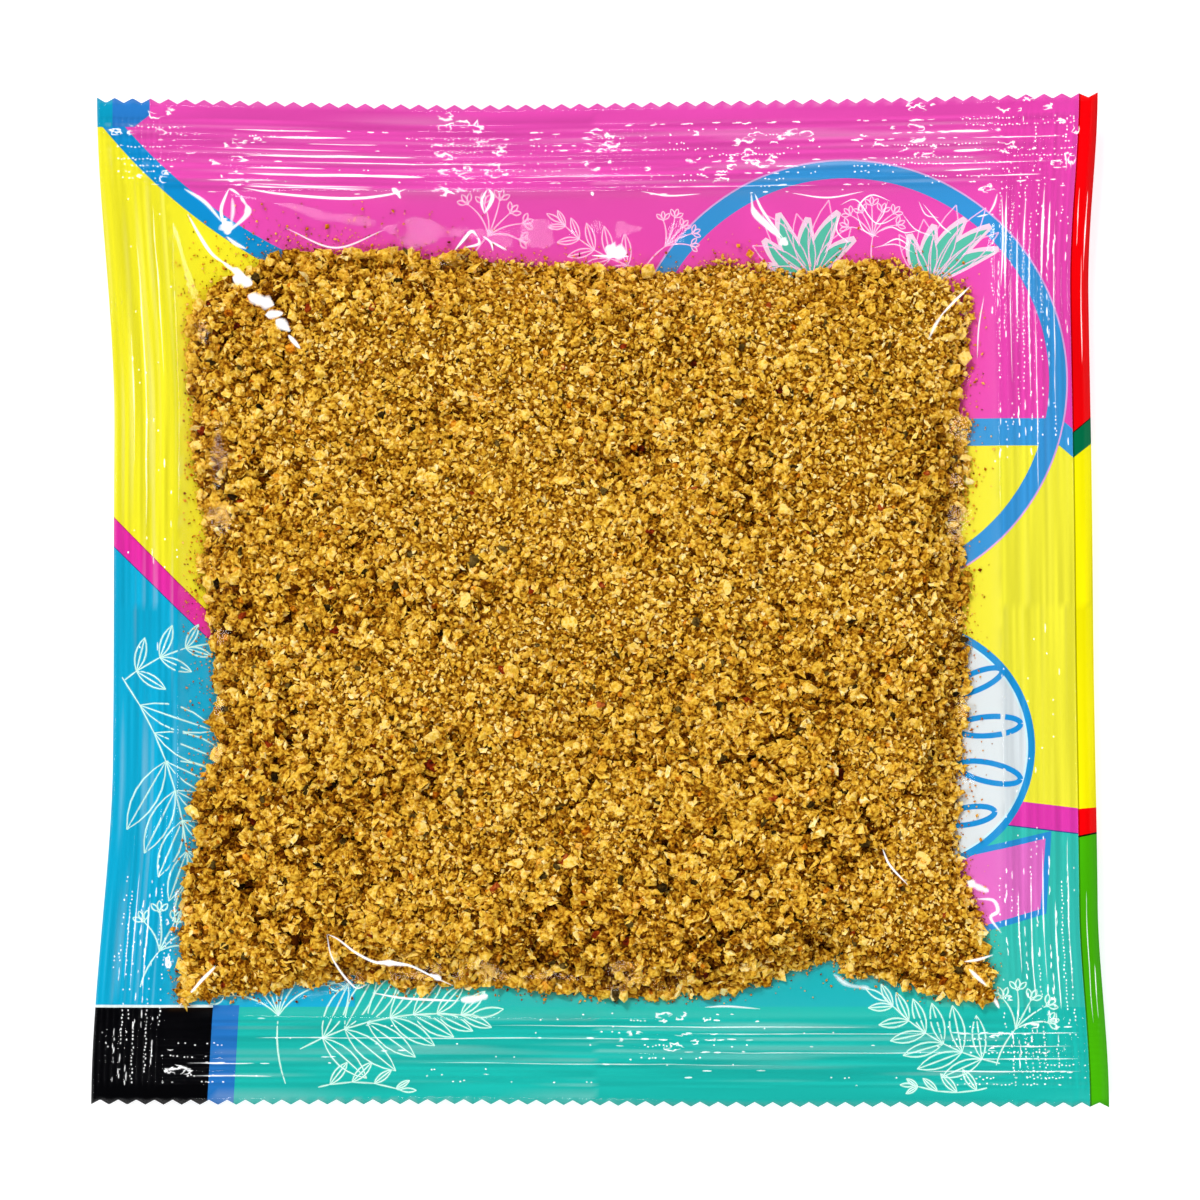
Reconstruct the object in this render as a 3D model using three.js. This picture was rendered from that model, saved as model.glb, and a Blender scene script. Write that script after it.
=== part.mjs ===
// A small sealed pouch of ground cumin, lying on its back with its clear face up.
// Two sheets of film, a clear one in front and a printed one behind, are heat sealed
// along all four sides. The powder between them puffs the middle into a pillow, which
// pulls the side edges in. Pouch and contents are one closed body here.
// Millimetres: +X to the right and +Y to the top of the clear face, +Z up, and the
// belly of the printed sheet lies on z = 0.

import * as THREE from 'three';

// Outer size of the pouch
const WIDTH = 112;
const HEIGHT = 111.6;

// Zigzag cut along the top and the bottom end
const TOOTH_PITCH = 2;
const TOOTH_DEPTH = 0.55;

// Crimped seals: ribs along each side, with plain film outside them
const RIB_PITCH = 0.7;
const RIB_HEIGHT = 0.12;
const END_RIBS = 11;
const LEFT_RIBS = 10;
const RIGHT_RIBS = 12;
const SEALED_THICKNESS = 0.4;
const END_MARGIN = 2;
const LEFT_MARGIN = 0.4;
const RIGHT_STRIP = 2.1;

// Pillow: how far the clear film rises and the belly drops from the sealed film
const SEAL_LIFT = 2.8;
const FRONT_RISE = 5.2;
const BELLY_DROP = 4.6;
const PILLOW_FLATNESS = 2.6;
const PILLOW_SHOULDER = 0.7;

// Ripple of the free edges: its height, its length and phase along the ends and the
// sides, and how fast it dies away from the edges
const EDGE_RIPPLE = 0.35;
const END_RIPPLE = { length: 52, phase: 0.6 };
const SIDE_RIPPLE = { length: 41, phase: -0.4 };
const RIPPLE_FADE = 4;

// How far each side edge is pulled in: halfway up, how much that grows towards the
// top, at the top and bottom corners, and where from the middle the corner flare starts
const LEFT_PULL = { waist: 2.5, lean: 0.3, top: 0.7, bottom: 0, flare: 0.32 };
const RIGHT_PULL = { waist: 1.75, lean: 0.8, top: 1.3, bottom: 0, flare: 0.6 };

// The top end sags between its corners, the bottom end rises a little on the left.
// Places along an end go from -1 on the left to 1 on the right.
const TOP_SAG = { depth: 1.3, centre: -0.23, softness: 0.18 };
const BOTTOM_RISE = { height: 0.3, full: -0.3, none: 0.5 };

// Fineness of the surface
const END_COLUMNS = 20;
const BODY_COLUMNS = 28;
const BODY_ROWS = 16;
const CROWDING = 0.9;

const FILM_COLOUR = 0xd9a23a;

const halfWidth = WIDTH / 2;
const halfHeight = HEIGHT / 2;
const pocket = {
  left: -halfWidth + LEFT_MARGIN + LEFT_RIBS * RIB_PITCH,
  right: halfWidth - RIGHT_STRIP - RIGHT_RIBS * RIB_PITCH,
  bottom: -halfHeight + END_MARGIN + END_RIBS * RIB_PITCH,
  top: halfHeight - END_MARGIN - END_RIBS * RIB_PITCH,
};

const { lerp, smoothstep } = THREE.MathUtils;

// Distance that a side edge is pulled in at v, from -1 at the bottom to 1 at the top.
function edgePull(side, v) {
  const waist = side.waist + side.lean * v;
  const corner = v > 0 ? side.top : side.bottom;
  return lerp(waist, corner, smoothstep(Math.abs(v), side.flare, 1));
}

// Height of the top end at u, from -1 on the left to 1 on the right: two gentle slopes
// that meet in a soft bend, highest in the right corner.
function topEnd(u) {
  const { depth, centre, softness } = TOP_SAG;
  const slope = (x) => Math.hypot(x - centre, softness);
  return halfHeight - depth * (slope(1) - slope(u)) / (slope(1) - softness);
}

function bottomEnd(u) {
  const { height, full, none } = BOTTOM_RISE;
  return -halfHeight + height * (1 - smoothstep(u, full, none));
}

// Place on the filled pouch of the point (flatX, flatY) of the flat rectangle of film.
function spot(flatX, flatY) {
  const u = flatX / halfWidth;
  const v = flatY / halfHeight;
  const left = -halfWidth + edgePull(LEFT_PULL, v);
  const right = halfWidth - edgePull(RIGHT_PULL, v);
  return {
    x: lerp(left, right, (1 + u) / 2),
    y: lerp(bottomEnd(u), topEnd(u), (1 + v) / 2),
  };
}

// Height of the middle of the sealed film above the table, with its rippling edges.
function sealHeight(flatX, flatY) {
  const nearEnd = Math.abs(flatY / halfHeight) ** RIPPLE_FADE;
  const nearSide = Math.abs(flatX / halfWidth) ** RIPPLE_FADE;
  const alongEnd = Math.sin((2 * Math.PI * flatX) / END_RIPPLE.length + END_RIPPLE.phase);
  const alongSide = Math.sin((2 * Math.PI * flatY) / SIDE_RIPPLE.length + SIDE_RIPPLE.phase);
  return SEAL_LIFT + EDGE_RIPPLE * (alongEnd * nearEnd + alongSide * nearSide);
}

// 0 on the seals, rising over a steep shoulder to 1 in the middle of the pillow.
function pillow(flatX, flatY) {
  const across = (2 * flatX - pocket.left - pocket.right) / (pocket.right - pocket.left);
  const along = (2 * flatY - pocket.bottom - pocket.top) / (pocket.top - pocket.bottom);
  const bulge = (t) => Math.max(0, 1 - Math.abs(t) ** PILLOW_FLATNESS) ** PILLOW_SHOULDER;
  return bulge(across) * bulge(along);
}

// Height of the rib wave at a distance outside the pocket, and 0 outside the seal.
function ribWave(distance, ribs) {
  const inSeal = distance > 0 && distance < ribs * RIB_PITCH;
  return inSeal ? RIB_HEIGHT * Math.sin((2 * Math.PI * distance) / RIB_PITCH) : 0;
}

function endRib(flatY) {
  return ribWave(Math.abs(flatY) - pocket.top, END_RIBS);
}

function sideRib(flatX) {
  return ribWave(pocket.left - flatX, LEFT_RIBS) + ribWave(flatX - pocket.right, RIGHT_RIBS);
}

// Front and back point of the pouch at one place of the flat film.
function frontAndBack(flatX, flatY, rib) {
  const { x, y } = spot(flatX, flatY);
  const middle = sealHeight(flatX, flatY) + rib;
  const puff = pillow(flatX, flatY);
  const front = middle + SEALED_THICKNESS / 2 + FRONT_RISE * puff;
  const back = Math.max(0, middle - SEALED_THICKNESS / 2 - BELLY_DROP * puff);
  return { front: [x, y, front], back: [x, y, back] };
}

// Equal steps from start to end, both included.
function steps(start, end, count) {
  return Array.from({ length: count + 1 }, (_, i) => lerp(start, end, i / count));
}

// Crests and valleys of the ribs from start outwards: direction is 1 or -1.
function ribSteps(start, direction, ribs) {
  const quarter = (direction * RIB_PITCH) / 4;
  const end = start + direction * ribs * RIB_PITCH;
  return steps(start + quarter, end - quarter, 2 * ribs - 1);
}

// Steps across the pillow that crowd towards its two borders, as a sine does.
function pillowSteps(start, end, count) {
  const turn = CROWDING * (Math.PI / 2);
  const reach = (end - start) / 2 / Math.sin(turn);
  return steps(-turn, turn, count).map((angle) => (start + end) / 2 + reach * Math.sin(angle));
}

// One row of points from the left edge to the right edge.
function row(flatXs, flatYOf, ribOf) {
  return flatXs.map((flatX, i) => {
    const flatY = flatYOf(i);
    return { u: flatX, ...frontAndBack(flatX, flatY, ribOf(flatX, flatY)) };
  });
}

const toothXs = steps(-halfWidth, halfWidth, (2 * WIDTH) / TOOTH_PITCH);
const endXs = steps(-halfWidth, halfWidth, END_COLUMNS);
const bodyXs = [
  -halfWidth,
  -halfWidth + LEFT_MARGIN,
  ...ribSteps(pocket.left, -1, LEFT_RIBS).reverse(),
  ...pillowSteps(pocket.left, pocket.right, BODY_COLUMNS),
  ...ribSteps(pocket.right, 1, RIGHT_RIBS),
  halfWidth - RIGHT_STRIP,
  halfWidth,
];

// A zigzag row: every other point is the valley between two teeth.
function toothRow(side) {
  return row(toothXs, (i) => side * (halfHeight - (i % 2) * TOOTH_DEPTH), () => 0);
}

// The rows of one crimped end, from the pillow out to the teeth.
function endRows(side) {
  const inner = side > 0 ? pocket.top : pocket.bottom;
  const outer = side * (halfHeight - END_MARGIN);
  const ribYs = ribSteps(inner, side, END_RIBS);
  const ribRows = ribYs.map((flatY) => row(endXs, () => flatY, () => endRib(flatY)));
  return [...ribRows, row(endXs, () => outer, () => 0), toothRow(side)];
}

const bodyRows = pillowSteps(pocket.bottom, pocket.top, BODY_ROWS)
  .map((flatY) => row(bodyXs, () => flatY, (flatX) => sideRib(flatX)));
const rows = [...endRows(-1).reverse(), ...bodyRows, ...endRows(1)];

// Closed skin through the rows: the front, the back turned over, and the rim between.
function pouchGeometry() {
  const positions = [];
  const triangles = [];
  for (const points of rows) {
    for (const point of points) {
      point.frontIndex = positions.length / 3;
      positions.push(...point.front, ...point.back);
    }
  }
  const addBoth = (a, b, c) => {
    triangles.push(a.frontIndex, b.frontIndex, c.frontIndex);
    triangles.push(a.frontIndex + 1, c.frontIndex + 1, b.frontIndex + 1);
  };
  for (let r = 0; r + 1 < rows.length; r += 1) {
    const lower = rows[r];
    const upper = rows[r + 1];
    let i = 0;
    let j = 0;
    while (i + 1 < lower.length || j + 1 < upper.length) {
      const lowerNext = i + 1 < lower.length ? lower[i + 1].u : Infinity;
      const upperNext = j + 1 < upper.length ? upper[j + 1].u : Infinity;
      if (lowerNext <= upperNext) {
        addBoth(lower[i], lower[i + 1], upper[j]);
        i += 1;
      } else {
        addBoth(lower[i], upper[j + 1], upper[j]);
        j += 1;
      }
    }
  }
  const rim = [
    ...rows[0],
    ...rows.slice(1, -1).map((points) => points.at(-1)),
    ...rows.at(-1).slice().reverse(),
    ...rows.slice(1, -1).map((points) => points[0]).reverse(),
  ];
  rim.forEach((point, i) => {
    const here = point.frontIndex;
    const next = rim[(i + 1) % rim.length].frontIndex;
    triangles.push(here + 1, next + 1, next, here + 1, next, here);
  });
  const geometry = new THREE.BufferGeometry();
  geometry.setAttribute('position', new THREE.Float32BufferAttribute(positions, 3));
  geometry.setIndex(triangles);
  geometry.computeVertexNormals();
  return geometry;
}

function makePouch() {
  const film = new THREE.MeshStandardMaterial({ color: FILM_COLOUR, roughness: 0.3, metalness: 0 });
  const pouch = new THREE.Mesh(pouchGeometry(), film);
  pouch.name = 'pouch';
  return pouch;
}

const model = new THREE.Group();
model.add(makePouch());

export default model;
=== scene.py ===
"""A small sealed pouch of ground cumin, lying on its back with its clear face up.

The sections follow the pouch as it is made: the printed back film, the motifs printed on it, the ground
seed, the clear front film, and what the sealing jaws and the folding of the film have left in the seals and
on the clear face. Shapes are worked out in millimetres, with +X to the right and +Y to the top of the clear
face, and go into the meshes in metres.
"""

from itertools import combinations

import bpy
import numpy as np
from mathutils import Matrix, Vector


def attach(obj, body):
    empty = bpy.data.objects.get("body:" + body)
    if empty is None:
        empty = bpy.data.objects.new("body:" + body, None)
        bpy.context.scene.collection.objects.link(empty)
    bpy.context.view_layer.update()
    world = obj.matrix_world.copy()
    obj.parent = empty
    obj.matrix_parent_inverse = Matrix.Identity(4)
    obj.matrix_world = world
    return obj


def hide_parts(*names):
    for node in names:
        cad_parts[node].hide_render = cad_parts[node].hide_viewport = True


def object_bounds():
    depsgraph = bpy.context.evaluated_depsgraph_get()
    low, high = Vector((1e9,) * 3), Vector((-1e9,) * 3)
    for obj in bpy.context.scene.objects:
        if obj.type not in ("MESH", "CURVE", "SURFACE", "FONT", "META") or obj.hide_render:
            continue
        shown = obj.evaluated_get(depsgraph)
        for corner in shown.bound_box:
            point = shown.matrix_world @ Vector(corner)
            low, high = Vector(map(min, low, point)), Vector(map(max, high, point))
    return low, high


# ---------------------------------------------------------------------------------------------------------
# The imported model, and the view straight down on its clear face.

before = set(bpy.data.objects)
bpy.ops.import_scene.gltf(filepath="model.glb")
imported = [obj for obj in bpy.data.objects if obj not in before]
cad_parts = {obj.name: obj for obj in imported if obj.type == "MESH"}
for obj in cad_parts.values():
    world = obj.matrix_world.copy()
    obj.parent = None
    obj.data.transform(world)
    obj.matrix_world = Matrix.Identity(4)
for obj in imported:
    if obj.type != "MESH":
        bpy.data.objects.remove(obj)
model_low, model_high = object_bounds()

MM = 0.001                     # metres in a millimetre
SEAL_LIFT = 2.8                # height of the sealed edges above the table
VIEW_WIDTH = 132               # what the picture spans at the height of the seals
LENS, SENSOR = 150, 36

scene = bpy.context.scene
camera = bpy.data.objects.new("camera", bpy.data.cameras.new("camera"))
camera.data.lens = LENS
camera.data.sensor_width = SENSOR
camera.location = (0, 0, (SEAL_LIFT + VIEW_WIDTH * LENS / SENSOR) * MM)
scene.collection.objects.link(camera)
scene.camera = camera
scene.view_settings.view_transform = "Standard"


# ---------------------------------------------------------------------------------------------------------
# The table: a plain white sheet of card, lit so that it comes out as bright as the background of a
# product picture. Card is matt, so it shows no reflection of the pouch.

TABLE_SIDE = 3000
TABLE_WHITE = "#D2D2D2"
TABLE_GLOW = 0.95
TABLE_GAP = 0.05


def linear(hex_colour):
    """Linear red, green, blue and alpha of an sRGB hex colour, by the sRGB curve."""
    channels = [int(hex_colour[i:i + 2], 16) / 255 for i in (1, 3, 5)]
    return [c / 12.92 if c <= 0.04045 else ((c + 0.055) / 1.055) ** 2.4 for c in channels] + [1]


def add_node(tree, kind, inputs=None, **settings):
    """Adds a node with its settings. Inputs gives each of its sockets, by name or number, a value or the
    output that feeds it."""
    node = tree.nodes.new(kind)
    for name, value in settings.items():
        setattr(node, name, value)
    for socket, value in (inputs or {}).items():
        if isinstance(value, bpy.types.NodeSocket):
            tree.links.new(value, node.inputs[socket])
        else:
            node.inputs[socket].default_value = value
    return node


def new_material(name):
    """An empty node material and its tree."""
    material = bpy.data.materials.new(name)
    material.use_nodes = True
    material.node_tree.nodes.clear()
    return material, material.node_tree


def make_piece(name, points, faces, material, smooth=True):
    """A new object from an array of points in millimetres and an array of faces with as many corners
    each."""
    mesh = bpy.data.meshes.new(name)
    mesh.vertices.add(len(points))
    mesh.vertices.foreach_set("co", (points * MM).astype(np.float32).ravel())
    mesh.loops.add(faces.size)
    mesh.loops.foreach_set("vertex_index", faces.astype(np.int32).ravel())
    mesh.polygons.add(len(faces))
    mesh.polygons.foreach_set("loop_start", np.arange(0, faces.size, faces.shape[1], dtype=np.int32))
    mesh.polygons.foreach_set("use_smooth", np.full(len(faces), smooth))
    mesh.update(calc_edges=True)
    mesh.materials.append(material)
    piece = bpy.data.objects.new(name, mesh)
    scene.collection.objects.link(piece)
    return piece


card, tree = new_material("White matt card")
shader = add_node(tree, "ShaderNodeBsdfPrincipled", {
    "Base Color": linear(TABLE_WHITE), "Roughness": 1.0, "Specular IOR Level": 0.0,
    "Emission Color": linear(TABLE_WHITE), "Emission Strength": TABLE_GLOW})
add_node(tree, "ShaderNodeOutputMaterial", {"Surface": shader.outputs["BSDF"]})

corner = TABLE_SIDE / 2
table_z = model_low.z / MM - TABLE_GAP
table_corners = np.array([(x, y, table_z) for x, y in
                          ((-corner, -corner), (corner, -corner), (corner, corner), (-corner, corner))])
table = make_piece("table", table_corners, np.array([(0, 1, 2, 3)]), card, smooth=False)


# ---------------------------------------------------------------------------------------------------------
# The back film: 60 micron polypropylene, printed on its inner face in flat fields of magenta, yellow, blue
# and teal. Ribbed jaws have sealed it to the front along all four sides, a zigzag knife has cut its ends,
# and the powder has pulled its sides in and drops its belly onto the table.

HALF_WIDTH = (model_high.x - model_low.x) / 2 / MM
HALF_HEIGHT = (model_high.y - model_low.y) / 2 / MM
TOOTH_PITCH, TOOTH_DEPTH = 2, 0.55
RIB_PITCH = 0.7
END_RIBS, LEFT_RIBS, RIGHT_RIBS = 11, 10, 12
END_MARGIN, LEFT_MARGIN, RIGHT_STRIP = 2, 0.4, 2.1
POCKET_LEFT = -HALF_WIDTH + LEFT_MARGIN + LEFT_RIBS * RIB_PITCH
POCKET_RIGHT = HALF_WIDTH - RIGHT_STRIP - RIGHT_RIBS * RIB_PITCH
POCKET_TOP = HALF_HEIGHT - END_MARGIN - END_RIBS * RIB_PITCH

FRONT_RISE, BELLY_DROP = 5.2, 4.6
PILLOW_FLATNESS, PILLOW_SHOULDER = 2.6, 0.7
EDGE_RIPPLE, RIPPLE_FADE = 0.35, 4
END_RIPPLE_LENGTH, END_RIPPLE_PHASE = 52, 0.6
SIDE_RIPPLE_LENGTH, SIDE_RIPPLE_PHASE = 41, -0.4
LEFT_PULL = {"waist": 2.5, "lean": 0.3, "top": 0.7, "bottom": 0, "flare": 0.32}
RIGHT_PULL = {"waist": 1.75, "lean": 0.8, "top": 1.3, "bottom": 0, "flare": 0.6}
TOP_SAG, TOP_SAG_CENTRE, TOP_SAG_SOFTNESS = 1.3, -0.23, 0.18
BOTTOM_RISE, BOTTOM_RISE_FULL, BOTTOM_RISE_NONE = 0.3, -0.3, 0.5

FILM = 0.06                    # thickness of either film
SEAL_GAP = 0.12                # between the inner faces of the two films in a seal
RIB_HEIGHT = 0.035             # where the film is pressed evenly
SPRUNG_HEIGHT = 0.05           # added where it has sprung up again

# Where the seals have sprung up and glitter: centre and half size of each patch
GLITTER = (
    (-49, 50.5, 6, 4), (-39.5, 48.5, 4, 3), (-15, 49.5, 5, 5), (4, 50, 9, 5), (17, 50, 8, 4),
    (36, 50.5, 7, 4), (48, 50, 7, 6), (48.5, 34, 5, 13), (49, -33, 6, 9), (48.5, -48, 6, 7),
    (9, -47.5, 7, 3), (-48.5, -51, 5, 5), (-45, -51, 5, 3), (-50, -35, 5, 10),
)


def smooth(t, low, high):
    """0 below low, 1 above high, and 3s^2 - 2s^3 between them, where s runs from 0 to 1."""
    s = np.clip((t - low) / (high - low), 0, 1)
    return s * s * (3 - 2 * s)


def mix(a, b, t):
    """a where t is 0, b where t is 1, and a straight line between."""
    return a + (b - a) * t


def bell(t, centre, half):
    """exp(-s^2), where s is the distance from the centre in half widths."""
    return np.exp(-((t - centre) / half) ** 2)


def noise(x, y, seed):
    """Smooth noise from 0 to 1: seeded random values at whole numbers of x and y, blended over each
    square between them by 3s^2 - 2s^3."""
    values = np.random.default_rng(seed).random((256, 256))
    column, row = np.floor(x).astype(int), np.floor(y).astype(int)
    across, up = smooth(x - column, 0, 1), smooth(y - row, 0, 1)
    column, row = column % 255, row % 255
    low = mix(values[column, row], values[column + 1, row], across)
    high = mix(values[column, row + 1], values[column + 1, row + 1], across)
    return mix(low, high, up)


def pulled_in(side, v):
    """How far a side edge is pulled in at v, from -1 at the bottom to 1 at the top: the waist, with its
    lean, blended into the corner past the flare."""
    corner_pull = np.where(v > 0, side["top"], side["bottom"])
    return mix(side["waist"] + side["lean"] * v, corner_pull, smooth(np.abs(v), side["flare"], 1))


def left_and_right(v):
    """The x of the left and right edge at v."""
    return -HALF_WIDTH + pulled_in(LEFT_PULL, v), HALF_WIDTH - pulled_in(RIGHT_PULL, v)


def bottom_and_top(u):
    """The y of the two ends at u, from -1 on the left to 1 on the right. The top end sags as a hyperbola
    between its corners, the bottom end rises a little on the left."""
    steepest = np.hypot(1 - TOP_SAG_CENTRE, TOP_SAG_SOFTNESS)
    sag = (steepest - np.hypot(u - TOP_SAG_CENTRE, TOP_SAG_SOFTNESS)) / (steepest - TOP_SAG_SOFTNESS)
    rise = 1 - smooth(u, BOTTOM_RISE_FULL, BOTTOM_RISE_NONE)
    return -HALF_HEIGHT + BOTTOM_RISE * rise, HALF_HEIGHT - TOP_SAG * sag


def place(flat_x, flat_y):
    """Where a point of the flat film lies on the filled pouch: its share of the width between the two
    edges, and its share of the height between the two ends."""
    u, v = flat_x / HALF_WIDTH, flat_y / HALF_HEIGHT
    left, right = left_and_right(v)
    bottom, top = bottom_and_top(u)
    return mix(left, right, (1 + u) / 2), mix(bottom, top, (1 + v) / 2)


def flatten(x, y):
    """The point of the flat film that place() puts at x, y: its two shares taken in turn until they
    settle."""
    u, v = x / HALF_WIDTH, y / HALF_HEIGHT
    for _ in range(4):
        left, right = left_and_right(v)
        u = 2 * (x - left) / (right - left) - 1
        bottom, top = bottom_and_top(u)
        v = 2 * (y - bottom) / (top - bottom) - 1
    return u * HALF_WIDTH, v * HALF_HEIGHT


def pillow(flat_x, flat_y):
    """0 on the seals and 1 in the middle: the product of (1 - |t|^flatness)^shoulder across and along,
    where t runs from -1 to 1 over the pocket."""
    across = (2 * flat_x - POCKET_LEFT - POCKET_RIGHT) / (POCKET_RIGHT - POCKET_LEFT)
    along = flat_y / POCKET_TOP
    bulges = [np.clip(1 - np.abs(t) ** PILLOW_FLATNESS, 0, 1) ** PILLOW_SHOULDER for t in (across, along)]
    return bulges[0] * bulges[1]


def rib_wave(distance, ribs):
    """sin(2 pi d / pitch) over the ribs of one seal, where d is the distance outside the pocket."""
    in_seal = (distance > 0) & (distance < ribs * RIB_PITCH)
    return np.where(in_seal, np.sin(2 * np.pi * distance / RIB_PITCH), 0)


def side_ribs(flat_x, flat_y):
    """The wave of the ribs along both sides, which run through the corners up to the plain margins."""
    wave = rib_wave(POCKET_LEFT - flat_x, LEFT_RIBS) + rib_wave(flat_x - POCKET_RIGHT, RIGHT_RIBS)
    return np.where(np.abs(flat_y) < HALF_HEIGHT - END_MARGIN, wave, 0)


def end_ribs(flat_x, flat_y):
    """The wave of the ribs along both ends, fainter in the corners, where the side ribs cross them."""
    in_corner = (flat_x < POCKET_LEFT) | (flat_x > POCKET_RIGHT)
    return np.where(in_corner, 0.4, 1) * rib_wave(np.abs(flat_y) - POCKET_TOP, END_RIBS)


def glitter(flat_x, flat_y):
    """0 to 1, how far the seal has sprung up again: the largest of the bell curves round its patches."""
    bells = [bell(flat_x, x, half_x) * bell(flat_y, y, half_y) for x, y, half_x, half_y in GLITTER]
    return np.max(bells, axis=0)


def pressing(flat_x, flat_y):
    """0 to 1, how hard each rib was pressed, by noise drawn out along the ribs."""
    side = noise(flat_x / RIB_PITCH, flat_y / 9, 11)
    end = noise(flat_x / 9, flat_y / RIB_PITCH, 12)
    return np.where(np.abs(flat_y) < POCKET_TOP, side, end)


def seal_height(flat_x, flat_y):
    """Height of the middle of the sealed film: its lift, the ripple of the free edges that fades towards
    the middle of the pouch, and the ribs."""
    near_end = np.abs(flat_y / HALF_HEIGHT) ** RIPPLE_FADE
    near_side = np.abs(flat_x / HALF_WIDTH) ** RIPPLE_FADE
    along_end = np.sin(2 * np.pi * flat_x / END_RIPPLE_LENGTH + END_RIPPLE_PHASE)
    along_side = np.sin(2 * np.pi * flat_y / SIDE_RIPPLE_LENGTH + SIDE_RIPPLE_PHASE)
    ripple = EDGE_RIPPLE * (along_end * near_end + along_side * near_side)
    rib_height = RIB_HEIGHT + SPRUNG_HEIGHT * glitter(flat_x, flat_y) * pressing(flat_x, flat_y)
    return SEAL_LIFT + ripple + rib_height * (side_ribs(flat_x, flat_y) + end_ribs(flat_x, flat_y))


def back_inside(flat_x, flat_y):
    """Height of the inner face of the back film, which drops with the pillow until it meets the table."""
    drop = seal_height(flat_x, flat_y) - SEAL_GAP / 2 - BELLY_DROP * pillow(flat_x, flat_y)
    return np.maximum(drop, FILM)


def seal_steps(pocket_edge, direction, ribs):
    """Four steps to each rib, from the pocket outwards."""
    return pocket_edge + direction * RIB_PITCH / 4 * np.arange(1, 4 * ribs + 1)


def film_grid(right_end):
    """Flat x and y of a grid over the film: fine in the seals, two steps to a tooth between the side seals
    so that the teeth come out sharp, and finer near the ends than in the middle."""
    columns = np.concatenate([
        [-HALF_WIDTH], seal_steps(POCKET_LEFT, -1, LEFT_RIBS)[::-1], [POCKET_LEFT],
        np.arange(np.ceil(POCKET_LEFT), POCKET_RIGHT - 0.2, TOOTH_PITCH / 2),
        [POCKET_RIGHT], seal_steps(POCKET_RIGHT, 1, RIGHT_RIBS), [HALF_WIDTH - RIGHT_STRIP / 2, HALF_WIDTH]])
    columns = columns[columns <= right_end + 1e-6]
    half = np.concatenate([
        np.arange(0, 33, 1.1), np.arange(33, POCKET_TOP - 0.3, 0.6),
        [POCKET_TOP], seal_steps(POCKET_TOP, 1, END_RIBS), [HALF_HEIGHT - END_MARGIN / 2, HALF_HEIGHT]])
    rows = np.concatenate([-half[:0:-1], half])
    return np.meshgrid(columns, rows)


def cut_ends(flat_x, flat_y):
    """Moves the first and last row to the zigzag of the knife: its depth is a triangle wave along x."""
    tooth = np.abs((flat_x / TOOTH_PITCH) % 1 * 2 - 1)
    cut = HALF_HEIGHT - TOOTH_DEPTH * (1 - tooth)
    return np.where(np.abs(flat_y) > HALF_HEIGHT - 1e-6, np.sign(flat_y) * cut, flat_y)


def grid_quads(rows, columns):
    """Quads of a grid of points numbered row by row, facing up where rows run up and columns right."""
    number = np.arange(rows * columns).reshape(rows, columns)
    quads = np.stack([number[:-1, :-1], number[:-1, 1:], number[1:, 1:], number[1:, :-1]], -1)
    return number, quads.reshape(-1, 4)


def closed_sheet(upper, lower):
    """Points and quads of the closed skin between two grids of points, upper and lower, with a rim all
    round, and which of the quads are smooth: all but those of the rim."""
    number, top = grid_quads(*upper.shape[:2])
    under = number.size
    edge = np.concatenate([number[0, :-1], number[:-1, -1], number[-1, :0:-1], number[:0:-1, 0]])
    onward = np.roll(edge, -1)
    rim = np.stack([edge + under, onward + under, onward, edge], -1)
    points = np.concatenate([upper.reshape(-1, 3), lower.reshape(-1, 3)])
    faces = np.concatenate([top, top[:, ::-1] + under, rim])
    return points, faces, np.arange(len(faces)) < 2 * len(top)


def store(piece, name, values):
    """Stores one number for each point of a piece, for its material to read."""
    piece.data.attributes.new(name, "FLOAT", "POINT").data.foreach_set(
        "value", np.asarray(values, np.float32).ravel())


# The outline of the powder in the pocket, which the print shows round: its finest dust clings there. Each
# edge is a line through a few points, given along the edge and then across it.
HEAP_LEFT = ((-46, -35, -30, -26, -22, -18, -9, 0, 4, 8, 14, 26, 34),
             (-46.4, -45.7, -45.2, -43.9, -44.7, -42.6, -42.2, -43.2, -44.1, -43.4, -44.4, -45.4, -44.4))
HEAP_RIGHT = ((-45, -37, -33, -30, -26, -9, 0, 8, 17, 22, 29, 33, 36),
              (43.3, 42.3, 41.2, 39.9, 39.5, 40.3, 40.6, 40.0, 40.8, 39.9, 40.7, 40.9, 39.4))
HEAP_BOTTOM = ((-46, -40, -31, -27, -23, -19, -16, -8, 0, 6, 12, 16, 19, 25.3, 27.5, 32, 35, 43),
               (-44.4, -43.2, -42.3, -41.7, -42.2, -43.0, -42.2, -42.7, -43.6, -43.9, -43.5, -42.8, -41.6,
                -39.2, -41.2, -41.8, -42.8, -44.4))
HEAP_TOP = ((-44.5, -40.5, -35, -22, -19, -14, -5, 5.5, 10, 14.5, 19, 23, 26, 29.7, 34, 37, 41),
            (32.8, 35.6, 38.0, 38.6, 37.7, 38.1, 37.2, 36.4, 36.7, 37.7, 36.6, 36.1, 36.7, 37.6, 36.9, 35.8,
             34.6))
EDGE_RAGGED = 1.4


def heap_sides(y):
    """The x of the left and right edge of the powder, as it has settled."""
    return np.interp(y, *HEAP_LEFT), np.interp(y, *HEAP_RIGHT)


def heap_ends(x):
    """The y of the bottom and top edge of the powder, wavy where the film pinches it."""
    return np.interp(x, *HEAP_BOTTOM), np.interp(x, *HEAP_TOP)


def heap_depth(x, y):
    """How far x, y lies inside the outline of the powder: the least distance from its four edges, less
    a ragged edge of noise on two scales."""
    left, right = heap_sides(y)
    bottom, top = heap_ends(x)
    ragged = EDGE_RAGGED * (noise(x / 2.2, y / 2.2, 21) + noise(x / 0.7, y / 0.7, 22) - 1)
    return np.min([x - left, right - x, y - bottom, top - y], axis=0) + 0.5 * ragged


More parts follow.
